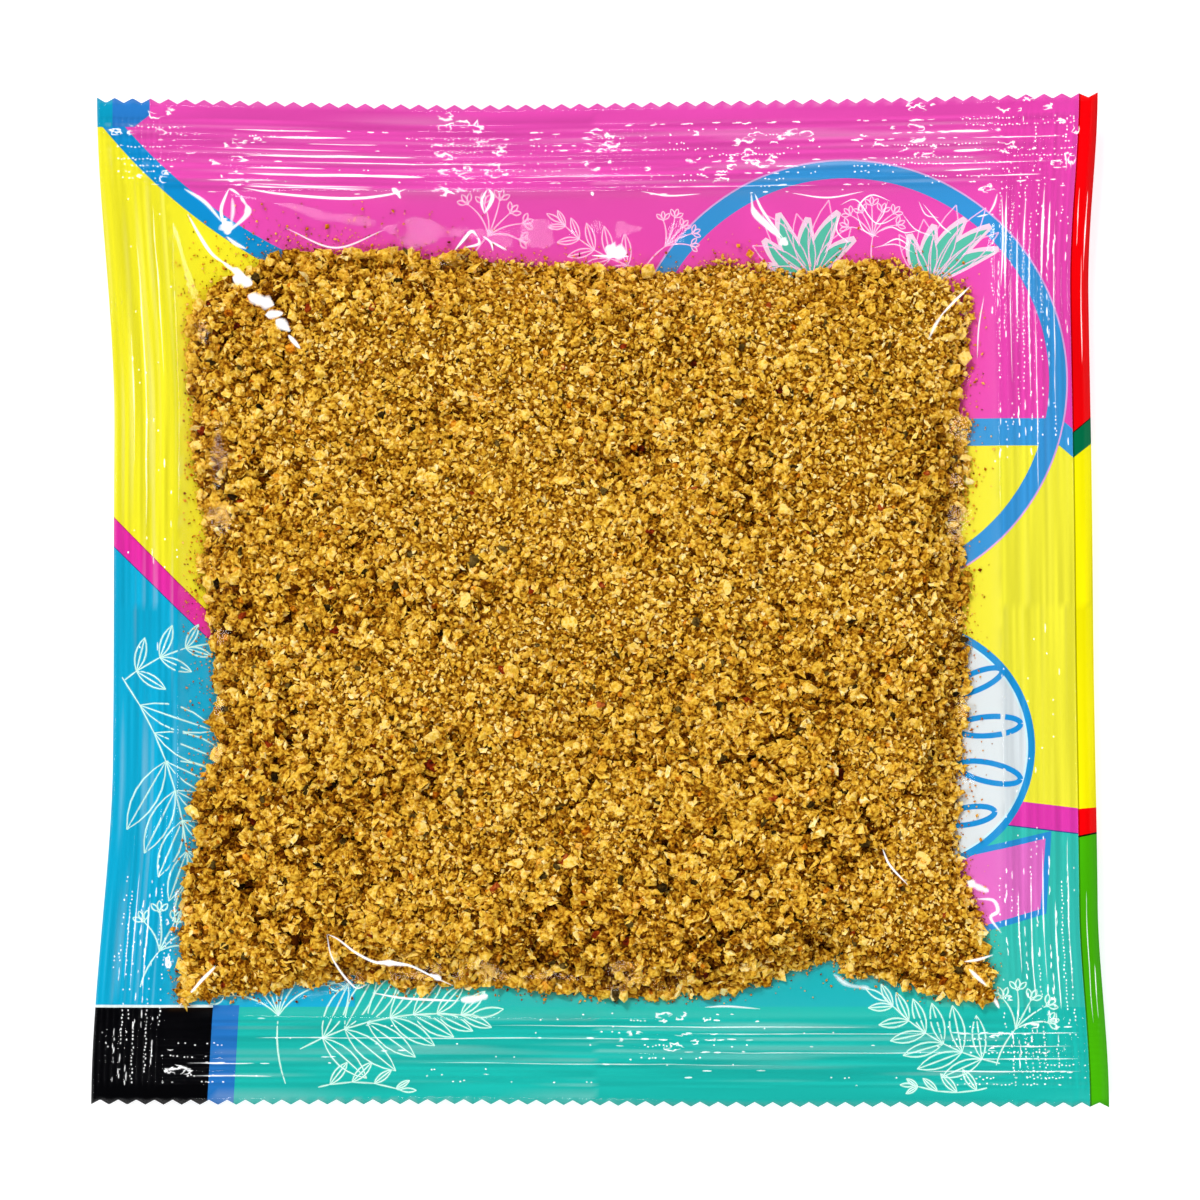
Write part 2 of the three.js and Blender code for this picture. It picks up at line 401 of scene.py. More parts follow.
def dusted(x, y):
    """0 to 1, how thickly dust clings to the print: it thins out as exp(-d) outwards from the powder, and
    more slowly in the top left corner. None is in the bottom seal."""
    outside = np.maximum(-heap_depth(x, y), 0)
    reach = 0.5 + 1.5 * bell(x, -43.7, 1.6) * bell(y, 35.5, 3.5)
    return np.exp(-outside / reach) * (0.25 + 0.75 * noise(x / 1.6, y / 1.6, 23)) * smooth(y, -45.3, -44.3)


# The print, in flat fields laid over each other in turn. Each has a colour and its edges. An edge of four
# numbers is a line through two points, with the field on its left on the way from the first to the second.
# An edge of three is a circle's centre and radius, with the field inside it, or outside where the radius
# is negative.
LEFT_SIDE, RIGHT_SIDE = (0, 0, 0, 1), (0, 1, 0, 0)
MAGENTA = "#E84DB2"
FIELDS = (
    # Magenta all over, a little deeper in the right seal
    ("#E645AE", (44.0, 1, 44.0, 0)),
    # Left: yellow below the blue arc, the blue corner, the slanting magenta band, and blue below it
    ("#F3EA2A", LEFT_SIDE, (-8.0, 89.8, -60.06)),
    ("#118FD0", LEFT_SIDE, (-8.0, 89.8, 60.06), (-10.0, 88.5, -55.8)),
    ("#2A7CCB", (-49.5, 0, -49.5, 1), (-51.6, 51.7, -49.5, 53.3), (-60, 52, -40, 52)),
    ("#0C9CC2", (-53.6, 0, -53.6, 1), (-60, 52, -40, 52)),
    ("#B01850", LEFT_SIDE, (-42.7, -1.82, -53.1, 8.79)),
    ("#E52EA4", LEFT_SIDE, (-42.7, -1.96, -53.1, 8.65)),
    ("#33408F", LEFT_SIDE, (-42.7, -4.70, -53.1, 5.58)),
    ("#0FABD4", LEFT_SIDE, (-42.7, -4.83, -53.1, 5.45)),
    # Right: blue, yellow, magenta and teal, one below the other
    ("#3A98D8", RIGHT_SIDE, (50, 20, 0, 20), (51.9, 18.9, 50.6, 20)),
    ("#F1EA3A", RIGHT_SIDE, (50, 17, 0, 17), (52, 15.7, 50.5, 17)),
    ("#E13AAD", RIGHT_SIDE, (52.6, -22.9, 46.3, -22.15)),
    ("#33408F", RIGHT_SIDE, (52.6, -25.62, 44.5, -24.67)),
    ("#35BFB2", RIGHT_SIDE, (52.6, -25.75, 44.5, -24.8)),
    # The blue ring, with its pale outline
    ("#D9A6E0", RIGHT_SIDE, (27.1, 24.1, 24.38), (27.1, 24.1, -22.3)),
    ("#3894D6", RIGHT_SIDE, (27.1, 24.1, 24.2), (27.1, 24.1, -22.3)),
    # A ribbon, and the disc that overlaps it
    ("#2D8FD6", (30, 1, 30, 0), (49.65, -25.4, 39.6, -27.8), (49.1, -34.5, 49.65, -25.4),
     (42.5, -36.5, 49.1, -34.5)),
    ("#E16EC5", (30, 1, 30, 0), (49.1, -26.2, 39.6, -28.5), (48.45, -33.9, 49.0, -26.2),
     (42.5, -35.8, 48.4, -34.0)),
    ("#1F93D6", (34, -16.2, 13.87)),
    ("#CFF2FA", (34, -16.2, 13.1)),
    ("#DCE5E9", (34, -16.2, 12.9)),
    # Bottom: teal below the middle of the powder, a white line, the black square, a royal blue strip and teal
    ("#1FB6B0", (10, -38, 0, -38), (-27, 0, -27, -10), (36, -10, 36, 0)),
    ("#1FB1B8", (10, -38, 0, -38), (11, 0, 11, -10), (33, -10, 33, 0)),
    ("#1DB9AE", (10, -44.8, 0, -44.8), (-39.7, -44.7, -40.3, -55.3)),
    ("#2676C4", (10, -44.6, 0, -44.6), (-40.3, -55.3, -39.7, -44.7)),
    ("#E8F6F4", (10, -44.55, 0, -44.55), (-43.2, -55.4, -42.6, -44.9)),
    ("#040406", (10, -44.85, 0, -44.85), (-43.2, -55.4, -42.6, -44.9)),
)
# The same for the plain strip along the right edge
STRIP_RED = "#F5030A"
STRIP_FIELDS = (
    ("#200004", (53.9, 20.05, 52.1, 18.55)),
    ("#026E46", (53.9, 19.9, 52.1, 18.4)),
    ("#FCF108", (53.9, 17.1, 52.0, 15.6)),
    ("#F80308", (54.6, -22.8, 52.7, -22.96)),
    ("#160802", (54.6, -25.5, 52.7, -25.9)),
    ("#46B208", (54.6, -25.7, 52.7, -26.1)),
)
STRIP_START = HALF_WIDTH - RIGHT_STRIP
STRIP_LINE, STRIP_LINE_DEPTH = 0.18, 0.45        # the thin darker line that the strip starts with
DUST = "#DC9216"


def lay_fields(tree, ink, spot, fields):
    """Lays fields of colour over an ink in turn. Each covers what is under it where all its edges' tests
    hold: for a line, that the spot's dot product with the normal is over that of the line's own point, and
    for a circle, that its distance from the centre is under, or over, the radius."""
    for colour, *edges in fields:
        cover = None
        for edge in edges:
            if len(edge) == 4:
                x1, y1, x2, y2 = edge
                normal = np.array([y1 - y2, x2 - x1]) / np.hypot(x2 - x1, y2 - y1)
                measure = add_node(tree, "ShaderNodeVectorMath", {0: spot, 1: (*normal, 0)},
                                   operation="DOT_PRODUCT")
                test, limit = "GREATER_THAN", float(normal @ (x1, y1))
            else:
                x, y, radius = edge
                measure = add_node(tree, "ShaderNodeVectorMath", {0: spot, 1: (x, y, 0)},
                                   operation="DISTANCE")
                test, limit = ("LESS_THAN", radius) if radius > 0 else ("GREATER_THAN", -radius)
            holds = add_node(tree, "ShaderNodeMath", {0: measure.outputs["Value"], 1: limit},
                             operation=test).outputs[0]
            if cover is not None:
                holds = add_node(tree, "ShaderNodeMath", {0: cover, 1: holds},
                                 operation="MULTIPLY").outputs[0]
            cover = holds
        ink = add_node(tree, "ShaderNodeMix", {"Factor": cover, "A": ink, "B": linear(colour)},
                       data_type="RGBA").outputs["Result"]
    return ink


def painted_shade_and_sheen_of_ribs(flat_x, flat_y):
    """Painted shade and painted sheen on the ink of the seals: how much darker or paler the ink is painted,
    and how much white sheen is mixed in, by noise that is drawn out along the ribs and changes twice from
    one rib to the next. In the corners the ribs of the sides and the ends are blended. The right seal gets
    hardly any painted sheen, and the black square and the plain strip get none."""
    beside = np.maximum(POCKET_LEFT - flat_x, flat_x - POCKET_RIGHT)
    beyond = np.abs(flat_y) - POCKET_TOP
    half_rib = RIB_PITCH / 2
    upright = [noise(flat_x / half_rib, flat_y / length, seed) for length, seed in ((13, 13), (19, 14))]
    level = [noise(flat_x / length, flat_y / half_rib, seed) for length, seed in ((13, 15), (19, 16))]
    share = np.clip(0.5 + (beyond - beside) / 6, 0, 1) * (beyond > 0) + (beyond <= 0) * (beside <= 0)
    tone, sheen_noise = (mix(a, b, share) for a, b in zip(upright, level))
    in_seal = smooth(np.maximum(beside, beyond), -0.7, 0.2)
    sheen_reach = in_seal * mix(1, 0.15, smooth(flat_x, 43, 46)) * (flat_x < STRIP_START)
    sheen_reach = sheen_reach * (1 - smooth(-flat_x, 42, 43) * smooth(-flat_y, 44, 45))
    return 1 + (0.28 * tone - 0.22) * in_seal, 0.12 * smooth(sheen_noise, 0.6, 1) * sheen_reach


# Gravure-printed polypropylene: flat inks, smooth and glossy. Painted shade and painted sheen make them a
# little darker or paler from rib to rib, with white sheen painted in long bands, and fine dust of the powder
# tints them close to it.
printed_film, tree = new_material("Gravure-printed polypropylene film")
position = add_node(tree, "ShaderNodeTexCoord").outputs["Object"]
in_mm = add_node(tree, "ShaderNodeVectorMath", {0: position, 1: (1 / MM, 1 / MM, 0)},
                 operation="MULTIPLY").outputs["Vector"]
front_ink = lay_fields(tree, linear(MAGENTA), in_mm, FIELDS)
strip_ink = lay_fields(tree, linear(STRIP_RED), in_mm, STRIP_FIELDS)
across = add_node(tree, "ShaderNodeAttribute", attribute_name="flat_x").outputs["Fac"]
ink = front_ink
line_ink = add_node(tree, "ShaderNodeVectorMath", {0: strip_ink, "Scale": STRIP_LINE_DEPTH},
                    operation="SCALE").outputs["Vector"]
for start, next_ink in ((STRIP_START, line_ink), (STRIP_START + STRIP_LINE, strip_ink)):
    past = add_node(tree, "ShaderNodeMath", {0: across, 1: start}, operation="GREATER_THAN")
    ink = add_node(tree, "ShaderNodeMix", {"Factor": past.outputs[0], "A": ink, "B": next_ink},
                   data_type="RGBA").outputs["Result"]
# Painted shade and painted sheen of the ribs: the ink is scaled darker or paler, then mixed towards white
depth = add_node(tree, "ShaderNodeAttribute", attribute_name="painted_rib_shade")
ink = add_node(tree, "ShaderNodeVectorMath", {0: ink, "Scale": depth.outputs["Fac"]}, operation="SCALE")
painted_sheen = add_node(tree, "ShaderNodeAttribute", attribute_name="painted_sheen")
ink = add_node(tree, "ShaderNodeMix", {"Factor": painted_sheen.outputs["Fac"], "A": ink.outputs["Vector"],
                                       "B": linear("#FFFFFF")}, data_type="RGBA")
dust_cover = add_node(tree, "ShaderNodeAttribute", attribute_name="dust_cover")
ink = add_node(tree, "ShaderNodeMix", {"Factor": dust_cover.outputs["Fac"], "A": ink.outputs["Result"],
                                       "B": linear(DUST)}, data_type="RGBA")
shader = add_node(tree, "ShaderNodeBsdfPrincipled", {
    "Base Color": ink.outputs["Result"], "Roughness": 0.3, "Specular IOR Level": 0.12})
add_node(tree, "ShaderNodeOutputMaterial", {"Surface": shader.outputs["BSDF"]})

flat_x, flat_y = film_grid(HALF_WIDTH)
flat_y = cut_ends(flat_x, flat_y)
x, y = place(flat_x, flat_y)
inner = back_inside(flat_x, flat_y)
points, faces, smooth_faces = closed_sheet(np.stack([x, y, inner], -1), np.stack([x, y, inner - FILM], -1))
back_film = make_piece("printed_back_film", points, faces, printed_film, smooth_faces)
# Painted shade and painted sheen of the ribs, stored for the material
painted_rib_shade, painted_sheen = painted_shade_and_sheen_of_ribs(flat_x, flat_y)
store(back_film, "flat_x", np.tile(flat_x, (2, 1)))
store(back_film, "painted_rib_shade", np.tile(painted_rib_shade, (2, 1)))
store(back_film, "painted_sheen", np.tile(painted_sheen, (2, 1)))
store(back_film, "dust_cover", np.tile(0.2 * dusted(x, y), (2, 1)))
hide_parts("pouch")
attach(back_film, "root")


# ---------------------------------------------------------------------------------------------------------
# Motifs printed on the fields: seed umbels and feathery fronds drawn in thin pale lines, two tufts of
# narrow leaves, and a few seeds in outline. A stroke is a few microns of gravure ink, drawn thicker here so
# that it is a body.

STROKE_STEPS = 7
INK_LIFT, INK_THICKNESS = 0.05, 0.012
MINT_LINE, ROSE_LINE, LEAF_LINE = 0.115, 0.1, 0.1       # half the width of the drawn lines
BLEED = 0.7                    # how far the lines stay inside the cut edge


def arc_paths(strokes, count=STROKE_STEPS):
    """Paths of strokes, each given by its two ends and its bulge: the straight line between the ends, moved
    sideways to its left by 4 t (1 - t) bulges."""
    strokes = np.array(strokes, float)
    t = np.linspace(0, 1, count)[None, :, None]
    start, end, bulge = strokes[:, None, 0:2], strokes[:, None, 2:4], strokes[:, None, 4:5]
    chord = end - start
    left = np.stack([-chord[..., 1], chord[..., 0]], -1)
    left = left / np.maximum(np.linalg.norm(left, axis=-1, keepdims=True), 1e-9)
    return mix(start, end, t) + 4 * t * (1 - t) * bulge * left


def ribbons(name, paths, half_widths, opacity, surface, lift, half_thickness, material):
    """One mesh of many thin ribbons that lie on a surface. Each is a diamond, its half widths to the left
    and right and its half thickness up and down, carried along its path and closed at both ends. Its
    opacity, an attribute for the material, fades to nothing at its left and right."""
    step = np.gradient(paths, axis=1)
    along = step / np.maximum(np.linalg.norm(step, axis=-1, keepdims=True), 1e-9)
    left = np.stack([-along[..., 1], along[..., 0]], -1) * half_widths[..., None]
    xy = np.stack([paths + left, paths, paths - left, paths], 2)
    z = surface(*flatten(xy[..., 0], xy[..., 1])) + lift + half_thickness * np.array([0, 1, 0, -1])
    count, steps = paths.shape[:2]
    number = np.arange(count * steps * 4).reshape(count, steps, 4)
    onward = np.roll(number, -1, axis=2)
    sides = np.stack([number[:, :-1], onward[:, :-1], onward[:, 1:], number[:, 1:]], -1).reshape(-1, 4)
    ends = np.concatenate([number[:, 0, ::-1], number[:, -1]])
    points = np.concatenate([xy, z[..., None]], -1).reshape(-1, 3)
    piece = make_piece(name, points, np.concatenate([sides, ends]), material, smooth=False)
    piece.visible_shadow = False
    store(piece, "opacity", np.broadcast_to(opacity, (count, steps))[..., None] * np.array([0, 1, 0, 1]))
    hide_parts("pouch")
    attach(piece, "root")
    return piece


def ink_material(name, colour, soft_edges=True):
    """Gravure ink on polypropylene: flat, a little glossy, and thin at the edges of a fine line."""
    material, tree = new_material(name)
    shader = add_node(tree, "ShaderNodeBsdfPrincipled", {
        "Base Color": linear(colour), "Roughness": 0.4, "Specular IOR Level": 0.12})
    if soft_edges:
        opacity = add_node(tree, "ShaderNodeAttribute", attribute_name="opacity")
        tree.links.new(opacity.outputs["Fac"], shader.inputs["Alpha"])
    add_node(tree, "ShaderNodeOutputMaterial", {"Surface": shader.outputs["BSDF"]})
    return material


def ahead(point, angle, distance):
    """The point at a distance from another in the direction of an angle."""
    return point[0] + distance * np.cos(angle), point[1] + distance * np.sin(angle)


def lens(start, end, width):
    """The two arcs of a lens-shaped leaf or seed."""
    return [(*start, *end, width / 2), (*start, *end, -width / 2)]


def frond(x, y, heading, size, pairs):
    """Strokes of one feathery frond: a curved midrib with pairs of leaflets that get shorter towards its
    tip. Each is a lens with its own rib."""
    foot, heading = (x, y), np.radians(heading)
    tip = ahead(foot, heading, size)
    joints = []
    for t in (0, *np.linspace(0.14, 0.95, pairs), 1):
        on_chord = ahead(foot, heading, t * size)
        joints.append(ahead(on_chord, heading + np.pi / 2, 4 * t * (1 - t) * 0.08 * size))
    strokes = [(*start, *end, 0) for start, end in zip(joints, joints[1:])]
    for t, joint in zip(np.linspace(0.14, 0.95, pairs), joints[1:]):
        for side in (-1, 1):
            length = size * (0.46 - 0.28 * t) * (0.6 + 0.4 * min(1, t / 0.25))
            end = ahead(joint, heading + side * (1.0 - 0.45 * t), length)
            strokes += lens(joint, end, 0.3 * length) + [(*joint, *end, 0)]
    return strokes + lens(tip, ahead(tip, heading, 0.2 * size), 0.05 * size)


def umbel(x, y, heading, size, rays, spread):
    """Strokes of one umbel: a stalk, rays that fan out from its top, and three seeds at the end of each
    ray. Every length is a share of the size."""
    foot, heading = (x, y), np.radians(heading)
    hub = ahead(foot, heading, 0.5 * size)
    strokes = [(*foot, *hub, 0.03 * size)]
    for i, angle in enumerate(heading + np.radians(spread) * np.linspace(-0.5, 0.5, rays)):
        reach = size * (0.40, 0.47)[i % 2]
        tip = ahead(hub, angle, reach)
        strokes.append((*hub, *tip, 0.12 * reach * np.sin(heading - angle)))
        for fan in (-0.75, 0, 0.75):
            seed_foot = ahead(tip, angle + fan, 0.03 * size)
            seed_tip = ahead(tip, angle + fan, 0.15 * size)
            strokes += lens(seed_foot, seed_tip, 0.055 * size) + [(*tip, *seed_foot, 0)]
    return strokes


def drawn(name, strokes, ink, half_width):
    """Draws strokes in an ink, as far as they lie inside the cut edge of the film. Half the width of a line
    follows 0.7 + 0.5 sin(pi t), so that it thins out towards its ends."""
    paths = arc_paths(strokes)
    flat = flatten(paths[..., 0], paths[..., 1])
    inside = (np.abs(flat[0]) < HALF_WIDTH - BLEED) & (np.abs(flat[1]) < HALF_HEIGHT - TOOTH_DEPTH - BLEED)
    paths = paths[inside.all(axis=1) & (flat[0] < STRIP_START).all(axis=1)]
    half_widths = half_width * (0.7 + 0.5 * np.sin(np.pi * np.linspace(0, 1, STROKE_STEPS)))
    half_widths = np.broadcast_to(half_widths, paths.shape[:2])
    return ribbons(name, paths, half_widths, 0.9, back_inside, INK_LIFT, INK_THICKNESS, ink)


def leaf_tuft(x, y, leaves, grow):
    """Paths and half widths of pointed leaves that fan out from one point. Each leaf has a direction, a
    length and a width; its half width follows sin(pi t). Grow is added all round."""
    strokes = [(*ahead((x, y), np.radians(angle), -grow),
                *ahead((x, y), np.radians(angle), length + 2 * grow), 0.07 * length)
               for angle, length, _ in leaves]
    width = np.array([width / 2 for _, _, width in leaves])[:, None]
    return arc_paths(strokes, 11), grow + 0.02 + width * np.sin(np.pi * np.linspace(0, 1, 11)) ** 0.9


mint = ink_material("Gravure ink, pale mint", "#D2F6EA")
rose = ink_material("Gravure ink, pale rose", "#FBC8E8")
leaf_green = ink_material("Gravure ink, leaf green", "#56BFA6", soft_edges=False)
outline_rose = ink_material("Gravure ink, leaf outline", "#F3D2E6", soft_edges=False)
seed_blue = ink_material("Gravure ink, blue line", "#1C8ED4", soft_edges=False)

drawn("motifs_in_mint", frond(-52.6, -8.5, 287, 25, 7) + frond(-52.3, -8.8, 22, 11, 4)
      + umbel(-50.6, -42.6, 62, 9, 5, 110) + frond(-33.0, -49.4, 11, 19, 7)
      + umbel(-34.6, -53.2, 96, 15, 7, 125) + frond(-31.0, -53.6, -2, 9, 4) + frond(44.0, -51.0, 151, 14, 6)
      + frond(42.6, -53.7, 178, 8, 4) + umbel(43.6, -51.2, 62, 9, 5, 100), mint, MINT_LINE)
drawn("motifs_in_rose", umbel(-14.6, 36.6, 58, 8.5, 6, 130) + frond(4.5, 36.6, 150, 10, 5)
      + umbel(4.8, 36.4, 48, 7, 5, 90) + umbel(30.2, 36.4, 92, 7.2, 7, 130), rose, ROSE_LINE)
TUFTS = ((23.4, 35.6, ((164, 4.6, 1.3), (142, 6.2, 1.5), (118, 7.4, 1.7), (94, 6.0, 1.5), (68, 7.2, 1.5),
                       (42, 5.8, 1.3))),
         (36.4, 34.8, ((112, 5.4, 1.3), (86, 6.0, 1.5), (62, 7.6, 1.7), (44, 8.6, 1.5), (27, 7.8, 1.3))))
for name, ink, grow, lift in (("leaf_outlines", outline_rose, 0.3, 0),
                              ("printed_leaves", leaf_green, 0, 0.05)):
    tufts = [leaf_tuft(*tuft, grow) for tuft in TUFTS]
    paths, half_widths = (np.concatenate(parts) for parts in zip(*tufts))
    ribbons(name, paths, half_widths, 1.0, back_inside, INK_LIFT + lift, 0.02, ink)
ribs = [(*ahead((x, y), np.radians(angle), 0.2 * length), *ahead((x, y), np.radians(angle), 0.9 * length),
         0.03 * length) for x, y, leaves in TUFTS for angle, length, _ in leaves]
outer = [stroke for x, y, leaves in TUFTS for angle, length, width in leaves
         for stroke in lens((x, y), ahead((x, y), np.radians(angle + 10), 1.2 * length), 1.5 * width)]
leaf_lines = arc_paths(ribs + outer)
ribbons("leaf_lines", leaf_lines, np.full(leaf_lines.shape[:2], LEAF_LINE), 0.7, back_inside,
        INK_LIFT + 0.11, INK_THICKNESS, rose)

# Seeds in outline on the disc, each an ellipse: its centre, heading, length and width
SEED_LINE = 0.3
SEED_OUTLINES = np.array(((41.4, -9.0, 24, 6.2, 1.9), (42.8, -13.9, 5, 7.0, 2.1),
                          (42.9, -19.0, -12, 6.8, 2.1), (40.6, -23.8, 10, 5.8, 1.9)))
x, y, heading, length, width = SEED_OUTLINES.T[:, :, None]
round_angle = np.linspace(0, 2 * np.pi, 33)
along, beside = length / 2 * np.cos(round_angle), width / 2 * np.sin(round_angle)
c, s = np.cos(np.radians(heading)), np.sin(np.radians(heading))
seeds = np.stack([x + along * c - beside * s, y + along * s + beside * c], -1)
ribbons("printed_seeds", seeds, np.full(seeds.shape[:2], SEED_LINE), 1.0, back_inside,
        INK_LIFT, INK_THICKNESS, seed_blue)


# ---------------------------------------------------------------------------------------------------------
# The ground cumin: coarse dry powder that fills the pocket up to the clear film. Under the loose grains is
# a core of the same crumbs stuck together in lumps, with cracks between them that are dark by their own
# shadow and by painted shade, which lowers the core's tone the deeper it lies.

HEAD_ROOM = 0.45               # between the clear film and the top of the heap
REPOSE = 1.0                   # slope of its edges, rise over run
CORE_DEPTH = 0.3               # how far the core lies under the tops of the grains
CORE_INSET = 0.6               # and how far inside their outline
CORE_STEP = 0.32
CORE_WIDTH, CORE_HEIGHT = 87, 80
CORE_RINGS = 8
CLOD, CRUMB = 3.4, 1.5         # what the cracks divide the heap into
FLECK = 0.4                    # size of the spots on a grain
# The dark end of each ramp also shows the painted shade of grains that lie deep
SEED_RAMP = {                  # ground seed: from its dark coat to its pale kernel
    "golden": ("#522502", "#9C620C", "#D8A32C", "#F0C345", "#FFDC7A"),
    "pale": ("#804C0A", "#D19A28", "#F1C64A", "#FFD96E", "#FFEDA8"),
    "brown": ("#3E1801", "#7A4606", "#B57B16", "#DBA42E", "#F3C44E"),
    "orange": ("#6B2C02", "#B4600A", "#E0901C", "#F2AE38", "#FFD070"),
    "coat": ("#2A0A02", "#4E1404", "#7A2408", "#9A3C10", "#B8622A"),
    "green": ("#120B03", "#261A07", "#3C2C0F", "#56431C", "#705A2C"),
}


def front_inside(flat_x, flat_y):
    """Height of the inner face of the clear film, which rises with the pillow."""
    return seal_height(flat_x, flat_y) + SEAL_GAP / 2 + FRONT_RISE * pillow(flat_x, flat_y)


def cells(x, y, size, seed):
    """Distances, in sizes, to the nearest and the next of seeded random points, of which there is one in
    each square of a grid of this size."""
    offsets = np.random.default_rng(seed).random((256, 256, 2))
    column, row = np.floor(x / size).astype(int), np.floor(y / size).astype(int)
    nearest, second = np.full(np.shape(x), 9.0), np.full(np.shape(x), 9.0)
    for across in (-1, 0, 1):
        for up in (-1, 0, 1):
            spot = offsets[(column + across) % 256, (row + up) % 256]
            away = np.hypot(column + across + spot[..., 0] - x / size, row + up + spot[..., 1] - y / size)
            second = np.minimum(second, np.maximum(nearest, away))
            nearest = np.minimum(nearest, away)
    return nearest, second


def clumping(x, y):
    """0 to 1, how coarse the powder lies: more so towards the lower left and the edges of the heap, and by
    wide noise."""
    near_edge = 1 - smooth(heap_depth(x, y), 2, 14)
    return np.clip(noise(x / 9, y / 9, 33) * 1.3 - 0.25 - 0.006 * (1.3 * x + y) + 0.3 * near_edge, 0, 1)


def powder_top(x, y):
    """Top of the powder as a whole: it climbs from the back film at its angle of repose until it meets the
    clear film."""
    flat = flatten(x, y)
    slope = back_inside(*flat) + 0.15 + REPOSE * np.maximum(heap_depth(x, y), 0)
    return np.minimum(slope, front_inside(*flat) - HEAD_ROOM)


def heap_height(x, y):
    """Its top with its cracks: wide ones between clods and fine ones between crumbs, along the lines that
    are as far from two of the points of cells(), and low where the clods and crumbs round off. They are
    deeper where the powder lies coarse."""
    bent_x, bent_y = x + 1.6 * noise(x / 1.4, y / 1.4, 34), y + 1.6 * noise(x / 1.4, y / 1.4, 35)
    coarse = clumping(x, y)
    cracks = np.zeros(np.shape(x))
    for size, seed, width, depth in ((CLOD, 36, 0.15, 0.12 + 1.0 * coarse),
                                     (CRUMB, 37, 0.22, 0.2 + 0.4 * coarse)):
        nearest, second = cells(bent_x, bent_y, size, seed)
        broken = smooth(noise(x / size, y / size, seed + 100), 0.3, 0.7)
        cracks += depth * broken * bell(second - nearest, 0, width) + 0.3 * depth * nearest ** 2
    return np.maximum(powder_top(x, y) - cracks, back_inside(*flatten(x, y)) + 0.12)


def sunk_below_top(x, y, z):
    """0 to 1, how far a point is sunk under the top of the powder as a whole, which darkens its colour as
    painted shade.
    """
    return np.clip((powder_top(x, y) - z) / 1.5, 0, 1)


def seed_material(name, ramp_name):
    """Ground seed: dry, matt and porous. Small paler and darker spots set its tone round the grain's own
    value, which carries painted shade and is low where the grain lies deep. The bump is its rough break."""
    material, tree = new_material(name)
    position = add_node(tree, "ShaderNodeTexCoord").outputs["Object"]
    spots = add_node(tree, "ShaderNodeTexNoise", {
        "Vector": position, "Scale": 1 / (FLECK * MM), "Detail": 1.0})
    tone_with_painted_shade = add_node(tree, "ShaderNodeAttribute", attribute_name="tone_with_painted_shade")
    tone = add_node(tree, "ShaderNodeMath", {0: spots.outputs["Fac"], 1: 1.4, 2: tone_with_painted_shade.outputs["Fac"]},
                    operation="MULTIPLY_ADD")
    tone = add_node(tree, "ShaderNodeMath", {0: tone.outputs[0], 1: 0.67}, operation="SUBTRACT")
    colour = add_node(tree, "ShaderNodeValToRGB", {"Fac": tone.outputs[0]})
    ramp, colours = colour.color_ramp, SEED_RAMP[ramp_name]
    while len(ramp.elements) < len(colours):
        ramp.elements.new(0.5)
    for i, hex_colour in enumerate(colours):
        ramp.elements[i].position = i / (len(colours) - 1)
        ramp.elements[i].color = linear(hex_colour)
    rough = add_node(tree, "ShaderNodeBump", {"Height": spots.outputs["Fac"], "Distance": 0.12 * MM,
                                              "Strength": 0.7})
    shader = add_node(tree, "ShaderNodeBsdfPrincipled", {
        "Base Color": colour.outputs["Color"], "Roughness": 0.9, "Specular IOR Level": 0.05,
        "Normal": rough.outputs["Normal"]})
    add_node(tree, "ShaderNodeOutputMaterial", {"Surface": shader.outputs["BSDF"]})
    return material


golden = seed_material("Crushed cumin seed, golden", "golden")
pale = seed_material("Crushed cumin seed, pale kernel", "pale")
brown = seed_material("Crushed cumin seed, brown coat", "brown")
orange = seed_material("Crushed cumin seed, orange", "orange")
reddish = seed_material("Seed coat, red-brown", "coat")
greenish = seed_material("Seed stalk, dark green", "green")

share_x, share_y = np.meshgrid(np.linspace(0, 1, int(CORE_WIDTH / CORE_STEP)),
                               np.linspace(0, 1, int(CORE_HEIGHT / CORE_STEP)))
rough_x, rough_y = mix(-45, 41, share_x), mix(-43, 37, share_y)
left, right = heap_sides(rough_y)
bottom, top = heap_ends(rough_x)
x = mix(left + CORE_INSET, right - CORE_INSET, share_x)
y = mix(bottom + CORE_INSET, top - CORE_INSET, share_y)
z = np.maximum(heap_height(x, y) - CORE_DEPTH, back_inside(*flatten(x, y)) + 0.08)
number, faces = grid_quads(*x.shape)
edge = np.concatenate([number[0, :-1], number[:-1, -1], number[-1, :0:-1], number[:0:-1, 0]])
upper = np.stack([x, y, z], -1).reshape(-1, 3)
shrink = 1 - (np.arange(1, CORE_RINGS + 1) / (CORE_RINGS + 1))[:, None] ** 1.5
ring_x, ring_y = upper[edge, 0] * shrink, upper[edge, 1] * shrink
ring_z = back_inside(*flatten(ring_x, ring_y)) + 0.04
under = np.concatenate([np.stack([ring_x, ring_y, ring_z], -1).reshape(-1, 3), [[0, 0, FILM + 0.04]]])
loops = np.concatenate([[edge], len(upper) + np.arange(ring_x.size).reshape(ring_x.shape)])
onward = np.roll(loops, -1, axis=1)
walls = np.stack([loops[1:], onward[1:], onward[:-1], loops[:-1]], -1).reshape(-1, 4)
hub = np.full(len(edge), len(upper) + ring_x.size)
quads = np.concatenate([faces, walls])
fan = np.stack([hub, onward[-1], loops[-1]], -1)
triangles = np.concatenate([quads[:, [0, 1, 2]], quads[:, [0, 2, 3]], fan])
core = make_piece("cumin_core", np.concatenate([upper, under]), triangles, brown)
# Painted shade: the core's tone is lower the deeper it lies under the top of the powder
tone_with_painted_shade = 0.5 - 0.6 * sunk_below_top(x, y, z)
store(core, "tone_with_painted_shade", np.concatenate([tone_with_painted_shade.ravel(), np.zeros(len(under))]))
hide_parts("pouch")
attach(core, "root")


